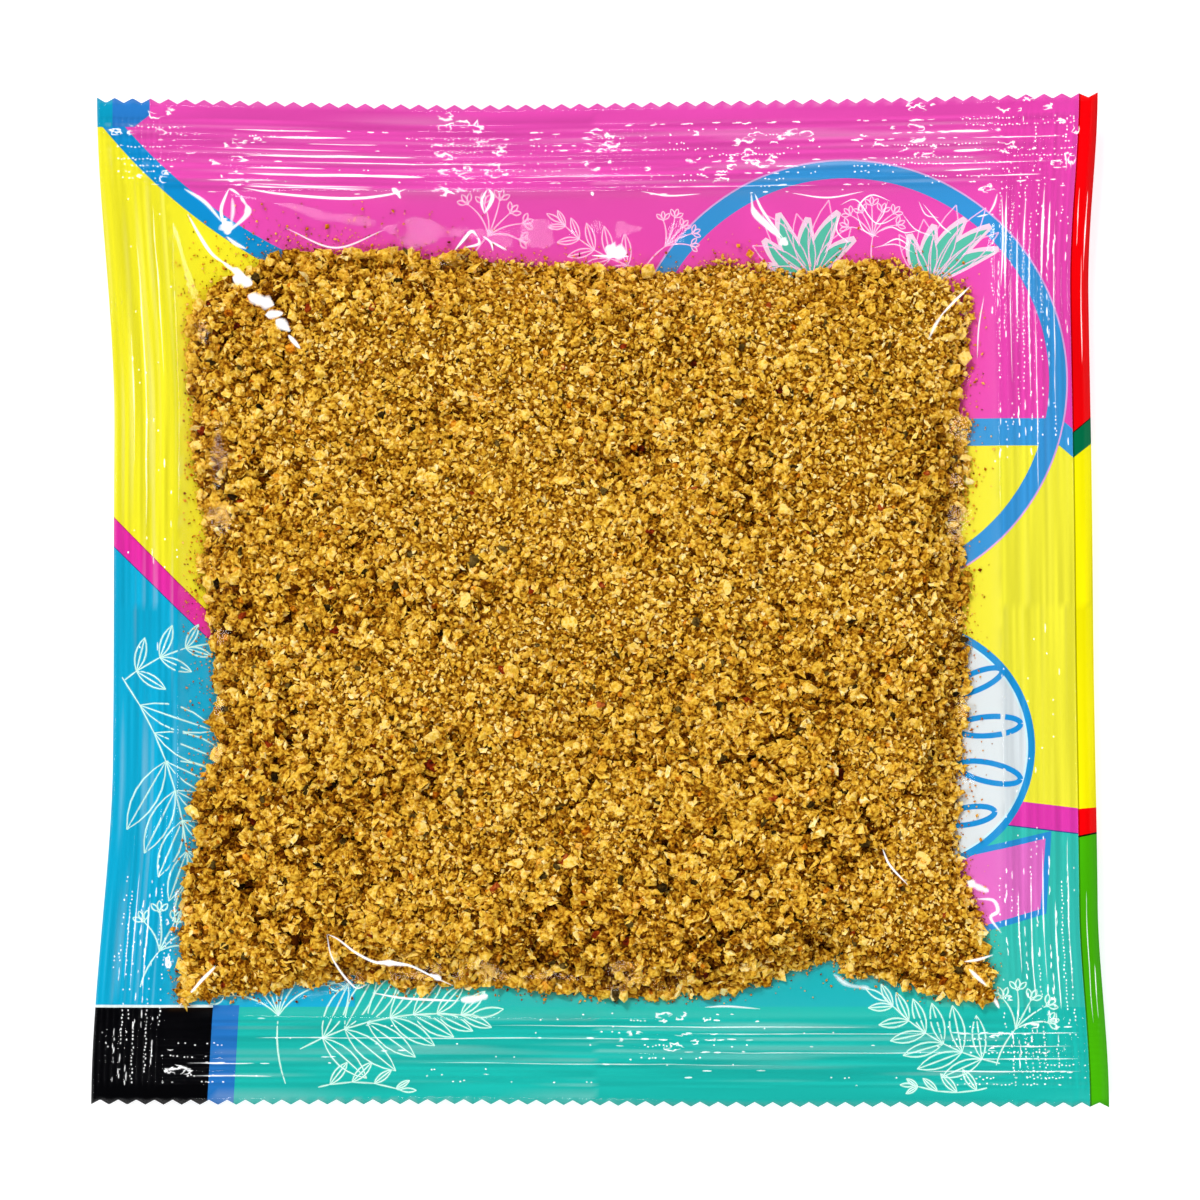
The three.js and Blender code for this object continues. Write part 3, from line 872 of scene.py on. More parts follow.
# ---------------------------------------------------------------------------------------------------------
# The grains that show: flakes and crumbs of crushed seed in several sizes, curled bran, a few oval slices,
# chips of seed coat and of stalk, and fine dust strewn round the heap. Each kind is one mesh of many small
# closed shapes that lie loose on the core.

LARGEST_GRAIN = 1.9


def solid_faces(corners, edge_length):
    """Triangles of a convex solid whose edges are all alike: each three corners that lie an edge apart,
    turned to face out."""
    faces = []
    for trio in combinations(range(len(corners)), 3):
        a, b, c = corners[list(trio)]
        if all(abs(np.linalg.norm(side) - edge_length) < 1e-6 for side in (b - a, c - b, a - c)):
            faces.append(trio if np.dot(np.cross(b - a, c - a), a + b + c) > 0 else trio[::-1])
    return np.array(faces)


# An octahedron and an icosahedron, each one unit across its corners, a curled flake and a smooth oval
SMALL = 0.5 * np.concatenate([np.eye(3), -np.eye(3)])
SMALL_FACES = solid_faces(SMALL, np.sqrt(0.5))
golden_ratio = (1 + np.sqrt(5)) / 2
pairs = [(0, a, b * golden_ratio) for a in (-1, 1) for b in (-1, 1)]
LARGE = np.concatenate([np.roll(pairs, turn, axis=1) for turn in range(3)])
LARGE = LARGE / (2 * np.hypot(1, golden_ratio))
LARGE_FACES = solid_faces(LARGE, 1 / np.hypot(1, golden_ratio))


def disc(sides, curl):
    """Corners and triangles of a disc one unit across, with its rim curled up on two sides and its two
    faces raised to a low point in the middle."""
    angle = 2 * np.pi * np.arange(sides) / sides
    rim = np.stack([np.cos(angle) / 2, np.sin(angle) / 2, curl * (np.cos(angle) ** 2 - 0.5)], -1)
    rim_faces = [(i, (i + 1) % sides, sides) for i in range(sides)]
    rim_faces += [((i + 1) % sides, i, sides + 1) for i in range(sides)]
    return np.concatenate([rim, [(0, 0, 0.4), (0, 0, -0.4)]]), np.array(rim_faces)


FLAKE, FLAKE_FACES = disc(6, 1.2)
OVAL, OVAL_FACES = disc(14, 0.2)


def turns(count, lean, rng):
    """Rotation matrices: a turn about the vertical, a lean of up to the given angle, and another turn."""
    first, second = rng.uniform(0, 2 * np.pi, (2, count))
    tip = lean * np.sqrt(rng.random(count))
    zero, one = np.zeros(count), np.ones(count)

    def about_z(angle):
        c, s = np.cos(angle), np.sin(angle)
        return np.stack([c, -s, zero, s, c, zero, zero, zero, one], -1).reshape(-1, 3, 3)

    c, s = np.cos(tip), np.sin(tip)
    about_y = np.stack([c, zero, s, zero, one, zero, -s, zero, c], -1).reshape(-1, 3, 3)
    return about_z(first) @ about_y @ about_z(second)


def grains(name, material, shape, shape_faces, laid, lean, uneven, seed):
    """One mesh of many grains laid out by heaped() or scattered(). Each is the shape with its corners moved
    at random by up to a share, scaled to its own length, width and height, turned, and set at its centre.
    Its tone is random, with painted shade that makes it darker the deeper it is sunk, and darker where
    clumping() is high, towards the lower left and the edges of the heap."""
    centres, sizes, sunk = laid
    rng = np.random.default_rng(seed)
    count, corners = len(centres), len(shape)
    solid = shape * (1 + uneven * rng.uniform(-1, 1, (count, corners, 3))) * sizes[:, None, :]
    solid = np.einsum("nij,nkj->nki", turns(count, lean, rng), solid) + centres[:, None, :]
    faces = (shape_faces[None] + corners * np.arange(count)[:, None, None]).reshape(-1, 3)
    piece = make_piece(name, solid.reshape(-1, 3), faces, material, smooth=False)
    # Painted shade: lower the deeper the grain is sunk and where clumping() is high
    tone_with_painted_shade = 0.31 + 0.75 * rng.random(count) - 0.65 * sunk - 0.14 * clumping(centres[:, 0], centres[:, 1])
    store(piece, "tone_with_painted_shade", np.repeat(tone_with_painted_shade, corners))
    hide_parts("pouch")
    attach(piece, "root")
    return piece


def strewn(count, rng):
    """About this many points over the powder and round it: one at random in each square of a grid."""
    step = np.sqrt(94 * 90 / count)
    x, y = np.meshgrid(np.arange(-48.5, 45.5, step), np.arange(-46, 44, step))
    return (x + step * rng.random(x.shape)).ravel(), (y + step * rng.random(y.shape)).ravel()


def clear_of_films(x, y, z, reach):
    """Centres at these points, kept this far from both films."""
    flat = flatten(x, y)
    z = np.minimum(z, front_inside(*flat) - reach - 0.03)
    return np.stack([x, y, np.maximum(z, back_inside(*flat) + reach + 0.03)], -1)


def heaped(count, mean_size, width, thickness, sink, reach, seed):
    """Grains on the heap, up to sink under its top. A length is log-normal round its mean, and longer where
    the powder lies coarse; width, thickness and reach are shares of it."""
    rng = np.random.default_rng(seed)
    x, y = strewn(count, rng)
    kept = heap_depth(x, y) > 0
    x, y = x[kept], y[kept]
    length = mean_size * (0.72 + 0.7 * clumping(x, y)) * np.exp(0.3 * rng.standard_normal(len(x)))
    length = np.minimum(length, LARGEST_GRAIN)
    sizes = length[:, None] * np.stack([np.ones(len(x)), width * rng.uniform(0.7, 1.3, len(x)),
                                        thickness * rng.uniform(0.7, 1.3, len(x))], -1)
    centres = clear_of_films(x, y, heap_height(x, y) - sink * rng.random(len(x)) ** 1.3, reach * length)
    return centres, sizes, sunk_below_top(x, y, centres[:, 2])


def scattered(count, mean_size, fade, seed):
    """Dust round the heap: it thins out as exp(-d / fade) with the distance d, more on the left and above,
    and lies on the back film."""
    rng = np.random.default_rng(seed)
    x, y = strewn(count, rng)
    outside = -heap_depth(x, y)
    reach = fade * (1 + 1.5 * smooth(-x, 30, 42) + 1.6 * smooth(y, 32, 38) * smooth(-x, 5, 30))
    kept = (outside > -0.3) & (rng.random(len(x)) < np.exp(-np.maximum(outside, 0) / reach))
    flat = flatten(x, y)
    kept &= (flat[0] > POCKET_LEFT + 0.5) & (flat[0] < POCKET_RIGHT - 0.5)
    kept &= (flat[1] < POCKET_TOP - 0.5) & (flat[1] > -POCKET_TOP + 1.6)
    x, y = x[kept], y[kept]
    length = mean_size * np.exp(0.4 * rng.standard_normal(len(x)))
    sizes = length[:, None] * np.array([1, 0.8, 0.7])
    return clear_of_films(x, y, np.zeros(len(x)), 0.4 * length), sizes, 0.5 * rng.random(len(x))


TUMBLED = np.pi
grains("golden_flakes", golden, SMALL, SMALL_FACES, lean=1.0, uneven=0.45, seed=51,
       laid=heaped(24000, 0.95, width=0.7, thickness=0.32, sink=0.4, reach=0.3, seed=41))
grains("pale_crumbs", pale, SMALL, SMALL_FACES, lean=TUMBLED, uneven=0.45, seed=52,
       laid=heaped(14000, 0.55, width=0.7, thickness=0.5, sink=0.25, reach=0.45, seed=42))
grains("brown_crumbs", brown, SMALL, SMALL_FACES, lean=TUMBLED, uneven=0.45, seed=53,
       laid=heaped(17000, 0.62, width=0.75, thickness=0.6, sink=0.5, reach=0.5, seed=43))
grains("golden_crumbs", golden, LARGE, LARGE_FACES, lean=TUMBLED, uneven=0.42, seed=54,
       laid=heaped(9500, 0.8, width=0.75, thickness=0.6, sink=0.4, reach=0.5, seed=44))
grains("large_crumbs", golden, LARGE, LARGE_FACES, lean=0.9, uneven=0.4, seed=55,
       laid=heaped(2300, 1.35, width=0.75, thickness=0.45, sink=0.4, reach=0.35, seed=45))
grains("bran_flakes", pale, FLAKE, FLAKE_FACES, lean=1.1, uneven=0.35, seed=56,
       laid=heaped(8000, 0.95, width=0.6, thickness=0.16, sink=0.3, reach=0.35, seed=46))
grains("oval_slices", golden, OVAL, OVAL_FACES, lean=0.3, uneven=0.08, seed=59,
       laid=heaped(110, 1.75, width=0.75, thickness=0.2, sink=0.0, reach=0.25, seed=49))
grains("orange_crumbs", orange, LARGE, LARGE_FACES, lean=TUMBLED, uneven=0.35, seed=60,
       laid=heaped(800, 0.7, width=0.75, thickness=0.6, sink=0.2, reach=0.5, seed=50))
grains("seed_coat_chips", reddish, LARGE, LARGE_FACES, lean=0.8, uneven=0.3, seed=57,
       laid=heaped(90, 1.05, width=0.7, thickness=0.4, sink=0.1, reach=0.4, seed=47))
grains("stalk_chips", greenish, LARGE, LARGE_FACES, lean=TUMBLED, uneven=0.35, seed=62,
       laid=heaped(450, 0.9, width=0.6, thickness=0.5, sink=0.25, reach=0.4, seed=61))
grains("dust", orange, SMALL, SMALL_FACES, lean=TUMBLED, uneven=0.4, seed=58,
       laid=scattered(60000, 0.22, fade=0.75, seed=48))


# ---------------------------------------------------------------------------------------------------------
# The clear front film: cast polypropylene of the same thickness, without print. It ends where the plain
# strip along the right edge begins. It lies tight on the powder, and puckers a little where it leaves the
# seals. Clear film lets the light through, so it shades nothing under it.

PUCKER, PUCKER_SIZE = 0.16, 2.6
GLOSS, POCKET_GLOSS = 0.8, 0.24                  # share of the mirror image that shows, less where dusty

clear_film, tree = new_material("Clear cast polypropylene film")
fresnel = add_node(tree, "ShaderNodeFresnel", {"IOR": 1.5})
geometry = add_node(tree, "ShaderNodeNewGeometry")
outer_face = add_node(tree, "ShaderNodeMath", {0: 1.0, 1: geometry.outputs["Backfacing"]},
                      operation="SUBTRACT")
share = add_node(tree, "ShaderNodeMath", {0: fresnel.outputs["Fac"], 1: outer_face.outputs[0]},
                 operation="MULTIPLY")
dulled = add_node(tree, "ShaderNodeAttribute", attribute_name="gloss")
share = add_node(tree, "ShaderNodeMath", {0: share.outputs[0], 1: dulled.outputs["Fac"]},
                 operation="MULTIPLY")
see_through = add_node(tree, "ShaderNodeBsdfTransparent")
gloss = add_node(tree, "ShaderNodeBsdfGlossy", {"Roughness": 0.06})
both = add_node(tree, "ShaderNodeMixShader", {0: share.outputs[0], 1: see_through.outputs["BSDF"],
                                              2: gloss.outputs["BSDF"]})
add_node(tree, "ShaderNodeOutputMaterial", {"Surface": both.outputs["Shader"]})


def puckers(flat_x, flat_y):
    """Height of the puckers: noise that is strongest halfway up the shoulder of the pillow."""
    puff = pillow(flat_x, flat_y)
    return PUCKER * 4 * puff * (1 - puff) * noise(flat_x / PUCKER_SIZE, flat_y / PUCKER_SIZE, 71)


flat_x, flat_y = film_grid(HALF_WIDTH - RIGHT_STRIP)
flat_y = cut_ends(flat_x, flat_y)
x, y = place(flat_x, flat_y)
inner = front_inside(flat_x, flat_y) + puckers(flat_x, flat_y)
points, faces, smooth_faces = closed_sheet(np.stack([x, y, inner + FILM], -1), np.stack([x, y, inner], -1))
front_film = make_piece("clear_front_film", points, faces, clear_film, smooth_faces)
store(front_film, "gloss", np.tile(mix(GLOSS, POCKET_GLOSS, smooth(pillow(flat_x, flat_y), 0, 0.2)), (2, 1)))
front_film.visible_shadow = False
front_film.visible_diffuse = False
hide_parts("pouch")
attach(front_film, "root")


# ---------------------------------------------------------------------------------------------------------
# Painted highlights in the seals: where the ribs have sprung up again, white strokes with a faint glow
# stand in for the glints of the light on them. They are dots and dashes in rows along the ribs, long thin
# lines, and little loops and blots where the film has wrinkled.

SLOT = 0.4                     # a dot or a dash may start in each slot of this length along a rib
CREST = 0.25                   # where in each rib pitch the crest is
GLINT_LIFT, GLINT_THICKNESS = 0.035, 0.01
# Where dashes are thick along the upright ribs, and along the level ones: centre, half size, and share
UPRIGHT_DASHES = (
    (-50.6, -36, 3.4, 7, 0.4), (-50.6, -49.5, 3.3, 4.6, 0.75), (-51, 20, 3, 25, 0.03),
    (48.6, 36, 4.5, 11, 0.5), (49, 22, 3.5, 7, 0.3), (48.8, -38, 4.2, 10, 0.5), (48, -49, 4, 3.5, 0.45),
    (50, 50, 3.5, 3.5, 0.2), (49, -10, 4, 14, 0.03),
)
LEVEL_DASHES = (
    (-50, 50.5, 5, 3.5, 0.35), (-39, 48.5, 4, 4, 0.25), (-14.5, 50, 5, 3.5, 0.35), (3, 50.5, 11, 4, 0.45),
    (17, 50, 7, 4, 0.4), (35, 50.5, 7, 4, 0.35), (47, 50.5, 7, 4.5, 0.5), (-45, -51.5, 4, 3, 0.3),
    (9, -47.5, 7, 3, 0.25), (46, -50, 7, 4.5, 0.4), (0, -50, 40, 5, 0.03), (0, 50, 40, 5, 0.04),
)
# Long lines: whether along an end, which rib, where it starts and ends, half its width, and its opacity
LINES = (
    (1, 8, -37.3, -28, 0.11, 0.9), (1, 7, -32.5, -24.5, 0.07, 0.6), (1, 5, -39.6, -20.3, 0.12, 0.9),
    (1, 3, -39.6, -30.6, 0.08, 0.6), (1, 2, -39.6, -24, 0.13, 0.8), (1, 2, -30, -19.3, 0.14, 1.0),
    (1, 0, -39.6, -25.3, 0.09, 0.7), (1, 9, -41, -31, 0.07, 0.5), (1, 6, -44, -27, 0.06, 0.45),
    (1, 4, -35, -17, 0.06, 0.4), (1, 1, -44, -36, 0.07, 0.5), (1, 4, -30, -8, 0.07, 0.4),
    (1, 8, 39, 44, 0.11, 0.9), (1, 5, 40, 43.5, 0.13, 0.9), (1, 2, 39, 44, 0.08, 0.7),
    (1, 1, 42, 50, 0.07, 0.6), (1, 7, 42, 52, 0.07, 0.6), (1, 3, 36, 51, 0.06, 0.5),
    (1, 2, -10, 10, 0.06, 0.4), (1, 0, 5, 25, 0.06, 0.4), (-1, 1, -12, 30, 0.06, 0.4),
    (-1, 3, -30, 8, 0.06, 0.35), (-1, 2, 10, 38, 0.07, 0.4), (-1, 5, 12, 40, 0.06, 0.35),
    (-1, 7, -20, 20, 0.06, 0.3), (-1, 6, 40, 53, 0.07, 0.5), (-1, 4, 38, 52, 0.07, 0.5),
    (-1, 8, 36, 53, 0.07, 0.5), (-1, 7, -45.5, -38, 0.08, 0.6), (-1, 9, -45.5, -36, 0.07, 0.5),
    (-1, 2, 40, 53, 0.06, 0.5), (-1, 3, -38, -20, 0.06, 0.4),
)
SIDE_LINES = (
    (1, 1, 34, 45.2, 0.11, 0.9), (1, 4, 38.5, 44.5, 0.10, 0.8), (1, 7, 35.5, 45.6, 0.13, 0.9),
    (1, 8, 37, 44, 0.09, 0.7), (1, 3, 30, 41, 0.07, 0.6), (1, 5, 22, 40, 0.08, 0.6),
    (1, 6, 12, 33, 0.06, 0.5), (1, 2, 24, 36, 0.06, 0.5), (1, 9, 20, 42, 0.06, 0.5),
    (1, 4, -44, -30, 0.08, 0.7), (1, 6, -42, -27, 0.07, 0.6), (1, 8, -45, -33, 0.08, 0.7),
    (1, 2, -41, -32, 0.07, 0.6), (1, 10, -43, -26, 0.06, 0.5), (-1, 2, 25, 44, 0.08, 0.35),
    (-1, 5, 8, 40, 0.09, 0.35), (-1, 7, 15, 30, 0.07, 0.3), (-1, 3, -44, -33, 0.07, 0.5),
    (-1, 5, -43, -30, 0.07, 0.5), (-1, 6, -42, -34, 0.06, 0.5), (1, 13.9, 36, 45, 0.06, 0.6),
    (1, 13.5, 26, 38, 0.05, 0.5), (1, 12.6, 39, 45.4, 0.05, 0.5), (1, 13.8, -46, -40, 0.05, 0.5),
    (1, 12.9, -46.5, -32, 0.06, 0.5),
)
# Where loops and blots are: centre, half size, and how many
LOOPS = (
    (-14.3, 53.9, 3, 0.8, 6), (-14, 50.7, 4, 0.9, 9), (-14, 48.5, 4, 0.7, 10), (-16.7, 46.2, 2.5, 0.4, 5),
    (-39.1, 51, 2, 0.7, 4), (-40, 48, 2.5, 1.4, 7), (-51, 51.9, 3.5, 0.4, 5), (-49, 47.2, 2.5, 0.5, 4),
    (-47.5, 54.3, 2.5, 0.5, 4), (4, 50.6, 8, 2.4, 14), (19.5, 51.6, 6, 0.8, 12), (15, 49.2, 5, 0.8, 11),
    (13.7, 47.2, 2.5, 0.6, 4), (36, 54.5, 2, 0.5, 4), (34, 51.3, 4, 1.3, 6), (37.4, 49.9, 2.5, 0.6, 5),
    (47.3, 54.4, 3.5, 0.5, 5), (49, 50, 4.5, 3, 10), (53.2, 50, 0.5, 3.2, 4), (-45.6, -51.6, 2, 0.8, 5),
    (10, -45.9, 3, 0.5, 5), (10.2, -48.6, 3, 0.8, 5), (3.3, -47.9, 2, 0.5, 3), (47, -46.5, 4, 3.4, 10),
    (-48, -36, 0.8, 4, 5), (44.4, 45.4, 0.8, 0.6, 3),
)
RIB_ENDS = {1: (POCKET_RIGHT, RIGHT_RIBS), -1: (POCKET_LEFT, LEFT_RIBS)}


def in_patches(patches, x, y):
    """0 to 1: the largest of the flat-topped bells round the patches, each times its share."""
    bells = [share * np.exp(-((x - cx) / half_x) ** 4 - ((y - cy) / half_y) ** 4)
             for cx, cy, half_x, half_y, share in patches]
    return np.max(bells, axis=0)


def dashes(seed):
    """Flat paths, half widths and opacities of the dots and dashes. Slow noise along each rib says whether
    it bears dots, dashes or nothing there."""
    rng = np.random.default_rng(seed)
    slots = np.arange(-HALF_HEIGHT + END_MARGIN, HALF_HEIGHT - END_MARGIN, SLOT)
    rows = []
    for side in (-1, 1):
        pocket_edge, ribs = RIB_ENDS[side]
        crests = pocket_edge + side * (np.arange(-1, ribs) + CREST) * RIB_PITCH
        x, y = np.meshgrid(crests, slots)
        rows.append(np.stack([x, y, np.ones(x.shape)], -1).reshape(-1, 3))
        crests = side * (POCKET_TOP + (np.arange(-1, END_RIBS) + CREST) * RIB_PITCH)
        x, y = np.meshgrid(slots, crests)
        rows.append(np.stack([x, y, np.zeros(x.shape)], -1).reshape(-1, 3))
    x, y, upright = np.concatenate(rows).T
    upright = upright > 0
    along, rib = np.where(upright, y, x), np.round(np.where(upright, x, y) / RIB_PITCH)
    share = np.where(upright, in_patches(UPRIGHT_DASHES, x, y), in_patches(LEVEL_DASHES, x, y))
    busy = smooth(noise(along / 5, rib * 7.3, 81), 0.25, 0.75)
    dotted = noise(along / 9, rib * 5.7, 82) > 0.5
    kept = rng.random(len(x)) < share * busy * np.where(dotted, 3.0, 1.0)
    x, y, upright, dotted, along = (values[kept] for values in (x, y, upright, dotted, along))
    half = np.where(dotted, rng.uniform(0.08, 0.12, len(x)), rng.uniform(0.14, 0.5, len(x)))
    t = np.array([-1, 0, 1]) * half[:, None] + (along + SLOT * rng.uniform(-0.2, 0.2, len(x)))[:, None]
    wobble = 0.02 * rng.standard_normal(t.shape) + 0.06 * rng.standard_normal((len(x), 1))
    upright = upright[:, None]
    paths = np.stack([np.where(upright, x[:, None] + wobble, t),
                      np.where(upright, t, y[:, None] + wobble)], -1)
    width = np.where(dotted, rng.uniform(0.1, 0.13, len(x)), rng.uniform(0.07, 0.13, len(x)))
    opacity = rng.uniform(0.4, 1, len(x))
    return paths, width[:, None] * np.array([0.6, 1, 0.6]), opacity[:, None] * np.array([0.7, 1, 0.7])


def long_lines():
    """Flat paths, half widths and opacities of the long lines, which waver a little and fade at both
    ends."""
    t = np.linspace(0, 1, 17)
    paths, widths, opacities = [], [], []
    for upright, lines in ((False, LINES), (True, SIDE_LINES)):
        for side, rib, start, end, width, opacity in lines:
            pocket_edge = RIB_ENDS[side][0] if upright else side * POCKET_TOP
            along = mix(start, end, t)
            waver = 0.16 * (noise(along / 4, np.full(17, rib * 3.1), 84) - 0.5)
            crest = pocket_edge + side * (rib + CREST) * RIB_PITCH + waver
            paths.append(np.stack([crest, along] if upright else [along, crest], -1))
            patchy = 0.6 + 0.8 * noise(along / 1.7, np.full(17, rib * 2.3), 85)
            widths.append(width * patchy * (0.3 + np.sin(np.pi * t) ** 0.5))
            opacities.append(np.clip(opacity * patchy * (0.15 + np.sin(np.pi * t) ** 0.5), 0, 1))
    return np.array(paths), np.array(widths), np.array(opacities)


def loops_and_blots(seed):
    """Flat paths, half widths and opacities: arcs of 90 to 330 degrees of an ellipse that lies along the
    ribs, of uneven width, so that the tight ones fill in to a blot."""
    rng = np.random.default_rng(seed)
    steps = 12
    paths = []
    for x, y, half_x, half_y, count in LOOPS:
        centre = np.array([x, y]) + np.array([half_x, half_y]) * rng.uniform(-1, 1, (count, 2))
        start = rng.uniform(0, 2 * np.pi, (count, 1))
        sweep = rng.uniform(1.6, 5.8, (count, 1)) * rng.choice([-1, 1], (count, 1))
        angle = start + np.linspace(0, 1, steps) * sweep
        size = rng.uniform(0.12, 0.5, (count, 1)) * np.exp(0.25 * rng.standard_normal((count, steps)))
        stretch = (1.7, 0.75) if half_x > half_y else (0.75, 1.7)
        arc = np.stack([np.cos(angle), np.sin(angle)], -1)
        paths.append(centre[:, None] + arc * size[..., None] * stretch)
    paths = np.concatenate(paths)
    width = rng.uniform(0.07, 0.2, (len(paths), 1)) * rng.uniform(0.4, 1.6, (len(paths), steps))
    fade = np.sin(np.pi * (np.arange(steps) + 0.6) / (steps + 0.2))
    return paths, width * fade, rng.uniform(0.5, 1, (len(paths), 1)) * (0.4 + 0.6 * fade)


# Painted glints: white with a faint glow, see-through where their opacity is low
painted_glint, tree = new_material("Painted glints on the seal ribs")
opacity = add_node(tree, "ShaderNodeAttribute", attribute_name="opacity")
shader = add_node(tree, "ShaderNodeBsdfPrincipled", {
    "Base Color": linear("#FFFFFF"), "Roughness": 0.25, "Alpha": opacity.outputs["Fac"],
    "Emission Color": linear("#FFFFFF"), "Emission Strength": 0.15})
add_node(tree, "ShaderNodeOutputMaterial", {"Surface": shader.outputs["BSDF"]})

# Painted highlights along the ribs: dots and dashes, long lines, and loops and blots
for name, (paths, half_widths, opacities) in (("glint_dashes", dashes(91)), ("glint_lines", long_lines()),
                                              ("glint_loops", loops_and_blots(92))):
    paths = np.stack(place(paths[..., 0], paths[..., 1]), -1)
    ribbons(name, paths, half_widths, opacities, seal_height, GLINT_LIFT, GLINT_THICKNESS, painted_glint)


# ---------------------------------------------------------------------------------------------------------
# Painted highlights on creases of the clear film: white strokes with a faint glow along sharp folds in the
# corners of the pocket, under the top seal and over the edge of the powder, where the folds would catch the
# light. Each has its width, its opacity, and the points that it runs through.

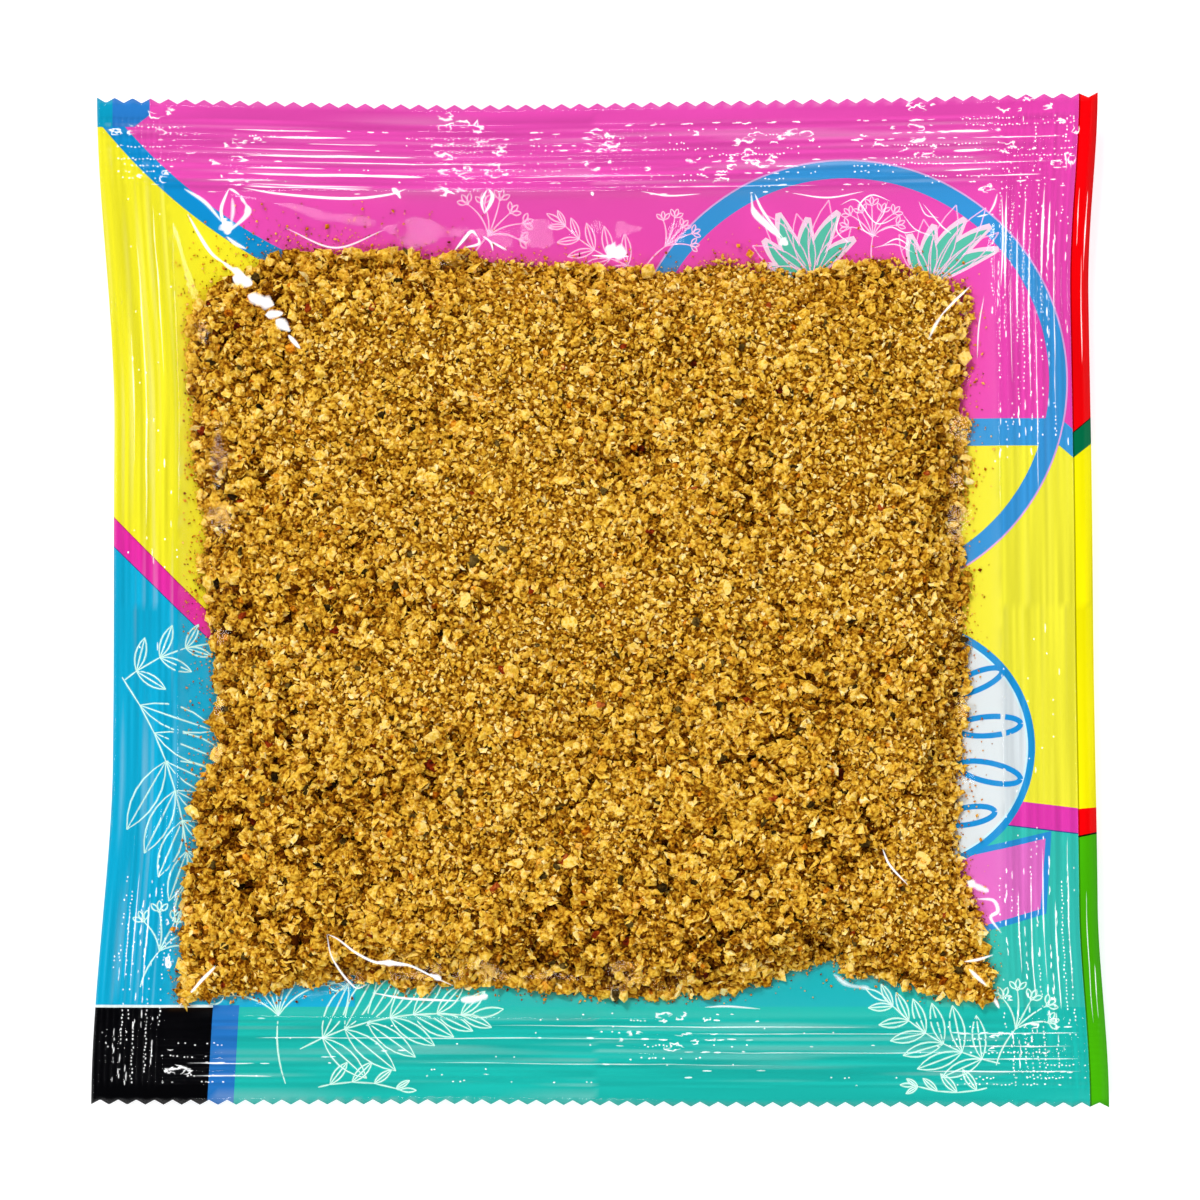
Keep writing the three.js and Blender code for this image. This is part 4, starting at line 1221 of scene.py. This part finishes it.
CREASE_STEPS = 24
CREASE_LIFT, CREASE_THICKNESS = 0.1, 0.03
CREASES = (
    # Top left: a kite of folds, a long curved fold over the corner of the powder, and bright dabs on it
    (0.30, 0.8, (-40.8, 45.2), (-41.6, 42.8), (-41.0, 40.4)),
    (0.45, 0.8, (-40.9, 40.3), (-38.7, 42.5), (-39.5, 44.4)),
    (0.25, 0.6, (-39.5, 44.4), (-40.3, 45.0), (-40.8, 45.2)),
    (0.9, 1.0, (-41.3, 41.9), (-41.0, 41.0), (-40.8, 40.1)),
    (0.4, 0.4, (-40.4, 44.2), (-40.3, 42.8), (-40.5, 41.2)),
    (0.35, 0.6, (-45.7, 45.2), (-43.4, 43.7), (-41.4, 41.4)),
    (0.35, 0.7, (-41.0, 39.9), (-40.0, 39.1), (-38.8, 38.5)),
    (0.3, 0.8, (-45.3, 42.4), (-43.9, 39.9), (-42.6, 38.0), (-41.0, 36.8)),
    (0.5, 0.9, (-41.4, 37.1), (-40.5, 36.4), (-39.6, 35.9), (-38.4, 34.9)),
    (0.9, 1.0, (-40.3, 35.4), (-39.3, 35.1), (-38.1, 34.6)),
    (0.95, 1.0, (-38.6, 33.4), (-37.2, 32.8), (-35.7, 32.3)),
    (0.55, 0.9, (-36.7, 31.2), (-35.7, 31.3), (-34.7, 31.4)),
    (0.85, 1.0, (-35.5, 30.7), (-34.7, 30.1), (-33.9, 29.4)),
    (0.4, 1.0, (-34.1, 29.0), (-33.5, 28.3), (-32.8, 27.5)),
    # Under the top seal
    (0.25, 0.8, (-39.2, 45.3), (-35, 44.6), (-28, 44.1), (-23.5, 44.5), (-21.3, 45.2)),
    (0.16, 0.5, (-38.5, 45.8), (-32, 45.5), (-25, 45.4)),
    (0.45, 0.9, (-22.9, 45.3), (-22.3, 44.8), (-21.9, 44.1)),
    (0.2, 0.45, (-34.5, 40.8), (-29, 38.6), (-23.6, 40.6)),
    (0.35, 0.8, (-12.3, 45.3), (-11.8, 44.4), (-12.1, 43.4), (-12.7, 42.4)),
    (0.25, 0.6, (-12.4, 45.2), (-13.0, 43.8), (-12.7, 42.4)), (0.3, 0.8, (-0.9, 44.9), (-0.8, 44.4)),
    (0.16, 0.6, (4.5, 44.9), (7.5, 44.4), (11, 44.6)), (0.2, 0.7, (-17.5, 45.3), (-15.9, 44.6)),
    (0.3, 0.8, (-15.9, 38.3), (-15.0, 39.4), (-14.1, 40.4), (-13.4, 39.8)),
    (0.25, 0.7, (-13.4, 39.8), (-13.3, 39.0), (-14.8, 38.6)),
    (0.2, 0.6, (-12.9, 39.9), (-12.0, 39.2), (-11.7, 38.2)), (0.2, 0.6, (-12.0, 39.3), (-10.2, 38.3)),
    (1.1, 0.8, (0.6, 38.6), (1.5, 38.2), (2.9, 37.9)), (0.22, 0.8, (-0.9, 37.7), (1.2, 37.6), (3.2, 37.6)),
    # In the ring
    (0.5, 0.9, (16.6, 44.6), (16.9, 42.6), (18.3, 41.1), (20.2, 39.2)),
    (0.25, 0.7, (17.0, 44.6), (17.9, 42.6), (20.2, 39.4)), (0.7, 0.9, (19.8, 39.5), (20.6, 38.9)),
    (0.16, 0.6, (21.1, 44.7), (25, 44.2), (29, 44.9)),
    (0.13, 0.5, (26.4, 43.4), (28.2, 43.9), (30.4, 41.3), (33.2, 42.4)),
    (0.12, 0.45, (33.2, 42.4), (34.6, 40.7), (36.6, 39.9)),
    (0.12, 0.5, (28.2, 42.4), (28.9, 40.6), (30.6, 39.8)),
    (0.12, 0.5, (26.2, 42.2), (26.0, 40.4), (27.4, 39.0)),
    (0.12, 0.4, (29.9, 38.6), (32.3, 39.0), (34.4, 38.1)),
    (0.12, 0.45, (31.6, 43.8), (31.0, 42.2), (30.0, 41.0)),
    (0.12, 0.45, (35.0, 43.8), (35.8, 42.3), (37.2, 42.0)),
    (0.12, 0.4, (33.4, 40.4), (33.8, 39.2), (33.0, 38.2)),
    (0.14, 0.6, (28.2, 42.2), (28.7, 43.7), (30, 44.5), (31.9, 43.8)),
    (0.13, 0.5, (30.6, 40.4), (32, 40.9), (33.5, 40.3), (35, 40.6)),
    (0.14, 0.6, (31, 38.9), (32.6, 39.6), (34, 38.8)),
    (0.14, 0.6, (35.5, 43.5), (37.4, 41.2), (38.6, 40.2)),
    # Top right, with its fold over the powder, and the wider one below it
    (0.2, 0.6, (43.7, 44.7), (43.3, 43.4), (42.7, 42.4)), (0.16, 0.6, (42.7, 42.4), (41.4, 42.1)),
    (0.22, 0.9, (40.6, 34.4), (38.9, 32.8), (37.3, 31.1)),
    (0.3, 0.5, (37.6, 31.4), (36.8, 30.2), (36.0, 28.6)),
    (0.16, 0.7, (44.2, 44.4), (44.3, 39.5), (44.1, 34.5)),
    (0.14, 0.5, (42.2, 33.4), (41.6, 30.0), (41.4, 26.5)),
    # Bottom left, and the long fold above the bottom seal with its bright end
    (0.22, 0.85, (-42.2, -40.1), (-44.2, -42.3), (-46.4, -44.8)),
    (0.3, 0.6, (-42.2, -40.3), (-43.4, -41.4), (-44.4, -42.4)),
    (0.24, 0.85, (-29.8, -36.6), (-28.6, -37.2), (-26.8, -38.6), (-24.6, -39.7), (-22.9, -39.7),
      (-20.7, -40.1), (-18.5, -41.2), (-16.1, -42.3)),
    (0.5, 0.8, (-24.4, -39.7), (-22.7, -39.8), (-21.3, -40.1)), (0.6, 0.9, (-18.6, -41.0), (-17.4, -41.6)),
    (0.2, 0.65, (-29.9, -36.6), (-29.5, -38.8), (-28.6, -40.5), (-27.5, -41.9), (-26.6, -42.6),
      (-25.5, -42.1)), (0.22, 0.9, (-25, -43.1), (-21.6, -43.7), (-18.2, -43.9), (-15.4, -44.0)),
    (0.9, 1.0, (-15.3, -43.9), (-13.8, -43.8), (-12.3, -43.4)),
    # Bottom right, with the broad fold that comes down to it over the powder
    (0.2, 0.8, (30.9, -27.2), (31.7, -29.0), (33.7, -31.2)),
    (0.7, 0.8, (40.2, -30.8), (41.5, -31.5), (42.7, -32.0)),
    (0.35, 0.8, (41.4, -32.8), (43.2, -33.0), (43.7, -34.2), (42.9, -34.9), (44.1, -36.6)),
    (0.25, 0.8, (40.0, -39.7), (41.5, -39.5), (43.2, -39.0)),
    (0.35, 0.8, (40.5, -40.5), (41.4, -41.4), (42.5, -42.4)),
    (0.35, 0.9, (42.7, -43.1), (43.4, -44.0), (43.9, -44.9)),
    (0.5, 0.4, (25.6, -41.0), (27.2, -42.2), (29.6, -42.6)),
    (0.2, 0.5, (11.5, -44.7), (14.0, -44.6), (17.6, -44.9)),
)


def curve(through, count):
    """Points on a smooth curve through the given ones: a cubic between each two, with the slopes that
    their neighbours give."""
    through = np.array(through, float)
    slopes = np.gradient(through, axis=0)
    t = np.linspace(0, len(through) - 1, count)
    i = np.minimum(t.astype(int), len(through) - 2)
    s = (t - i)[:, None]
    return (through[i] * (1 + 2 * s) * (1 - s) ** 2 + slopes[i] * s * (1 - s) ** 2
            + through[i + 1] * s ** 2 * (3 - 2 * s) + slopes[i + 1] * s ** 2 * (s - 1))


# Painted highlight of a fold: white with a faint glow, glossy, and fading out beside the fold
painted_fold_highlight, tree = new_material("Painted highlights on film folds")
opacity = add_node(tree, "ShaderNodeAttribute", attribute_name="opacity")
shader = add_node(tree, "ShaderNodeBsdfPrincipled", {
    "Base Color": linear("#FFFFFF"), "Roughness": 0.15, "Alpha": opacity.outputs["Fac"],
    "Emission Color": linear("#FFFFFF"), "Emission Strength": 0.15})
add_node(tree, "ShaderNodeOutputMaterial", {"Surface": shader.outputs["BSDF"]})

paths = np.array([curve(points, CREASE_STEPS) for _, _, *points in CREASES])
fade = np.sin(np.pi * (np.arange(CREASE_STEPS) + 0.5) / CREASE_STEPS) ** 0.5
widths, opacities = (np.array([crease[i] for crease in CREASES])[:, None] for i in (0, 1))
step, number = np.meshgrid(np.arange(CREASE_STEPS), np.arange(len(CREASES)))
uneven = mix(1, 0.45 + 1.1 * noise(step / 4.3, number * 3.7, 93), widths > 0.4)
half_widths = 0.75 * widths * fade * uneven + 0.01
# Painted highlights along the creases of the clear film
ribbons("crease_highlights", paths, half_widths, np.clip(1.2 * opacities * fade * uneven, 0, 1), front_inside,
        FILM + CREASE_LIFT, CREASE_THICKNESS, painted_fold_highlight)


# ---------------------------------------------------------------------------------------------------------
# The light: a pale tent round the table with a wide dark opening overhead, so that the flat film reflects
# nothing, four wide soft lamps that model the grains, and small weak ones that glint on the ribs.

SKY_DARK, SKY_LIGHT = 0.0, 0.95
OPENING, WALL = 25, 68         # degrees from overhead where the tent starts, and where it is fully lit
LAMPS = (                      # lean from overhead, bearing, angle that it fills, strength
    (48, 112, 14, 1.5), (45, 195, 18, 0.8), (45, 285, 18, 0.45), (45, 15, 18, 0.35))
GLINTS = (                     # the same for those that the film mirrors
    (34, 95, 5, 0.09), (34, 265, 5, 0.05), (34, 175, 5, 0.07), (34, 5, 5, 0.07), (50, 140, 6, 0.05))

world = bpy.data.worlds.new("tent")
world.use_nodes = True
tree = world.node_tree
tree.nodes.clear()
direction = add_node(tree, "ShaderNodeTexCoord").outputs["Generated"]
height = add_node(tree, "ShaderNodeSeparateXYZ", {0: direction}).outputs["Z"]
lit = add_node(tree, "ShaderNodeMapRange", {
    "Value": height, "From Min": float(np.cos(np.radians(WALL))),
    "From Max": float(np.cos(np.radians(OPENING))), "To Min": SKY_LIGHT, "To Max": SKY_DARK},
    interpolation_type="SMOOTHSTEP")
background = add_node(tree, "ShaderNodeBackground", {
    "Color": (1, 1, 1, 1), "Strength": lit.outputs["Result"]})
add_node(tree, "ShaderNodeOutputWorld", {"Surface": background.outputs["Background"]})
scene.world = world

for i, (lean, bearing, angle, strength) in enumerate(LAMPS + GLINTS):
    lamp = bpy.data.lights.new(f"lamp_{i}", "SUN")
    lamp.energy = strength
    lamp.angle = np.radians(angle)
    holder = bpy.data.objects.new(f"lamp_{i}", lamp)
    holder.rotation_euler = (0, np.radians(lean), np.radians(bearing))
    holder.visible_glossy = i >= len(LAMPS)
    scene.collection.objects.link(holder)
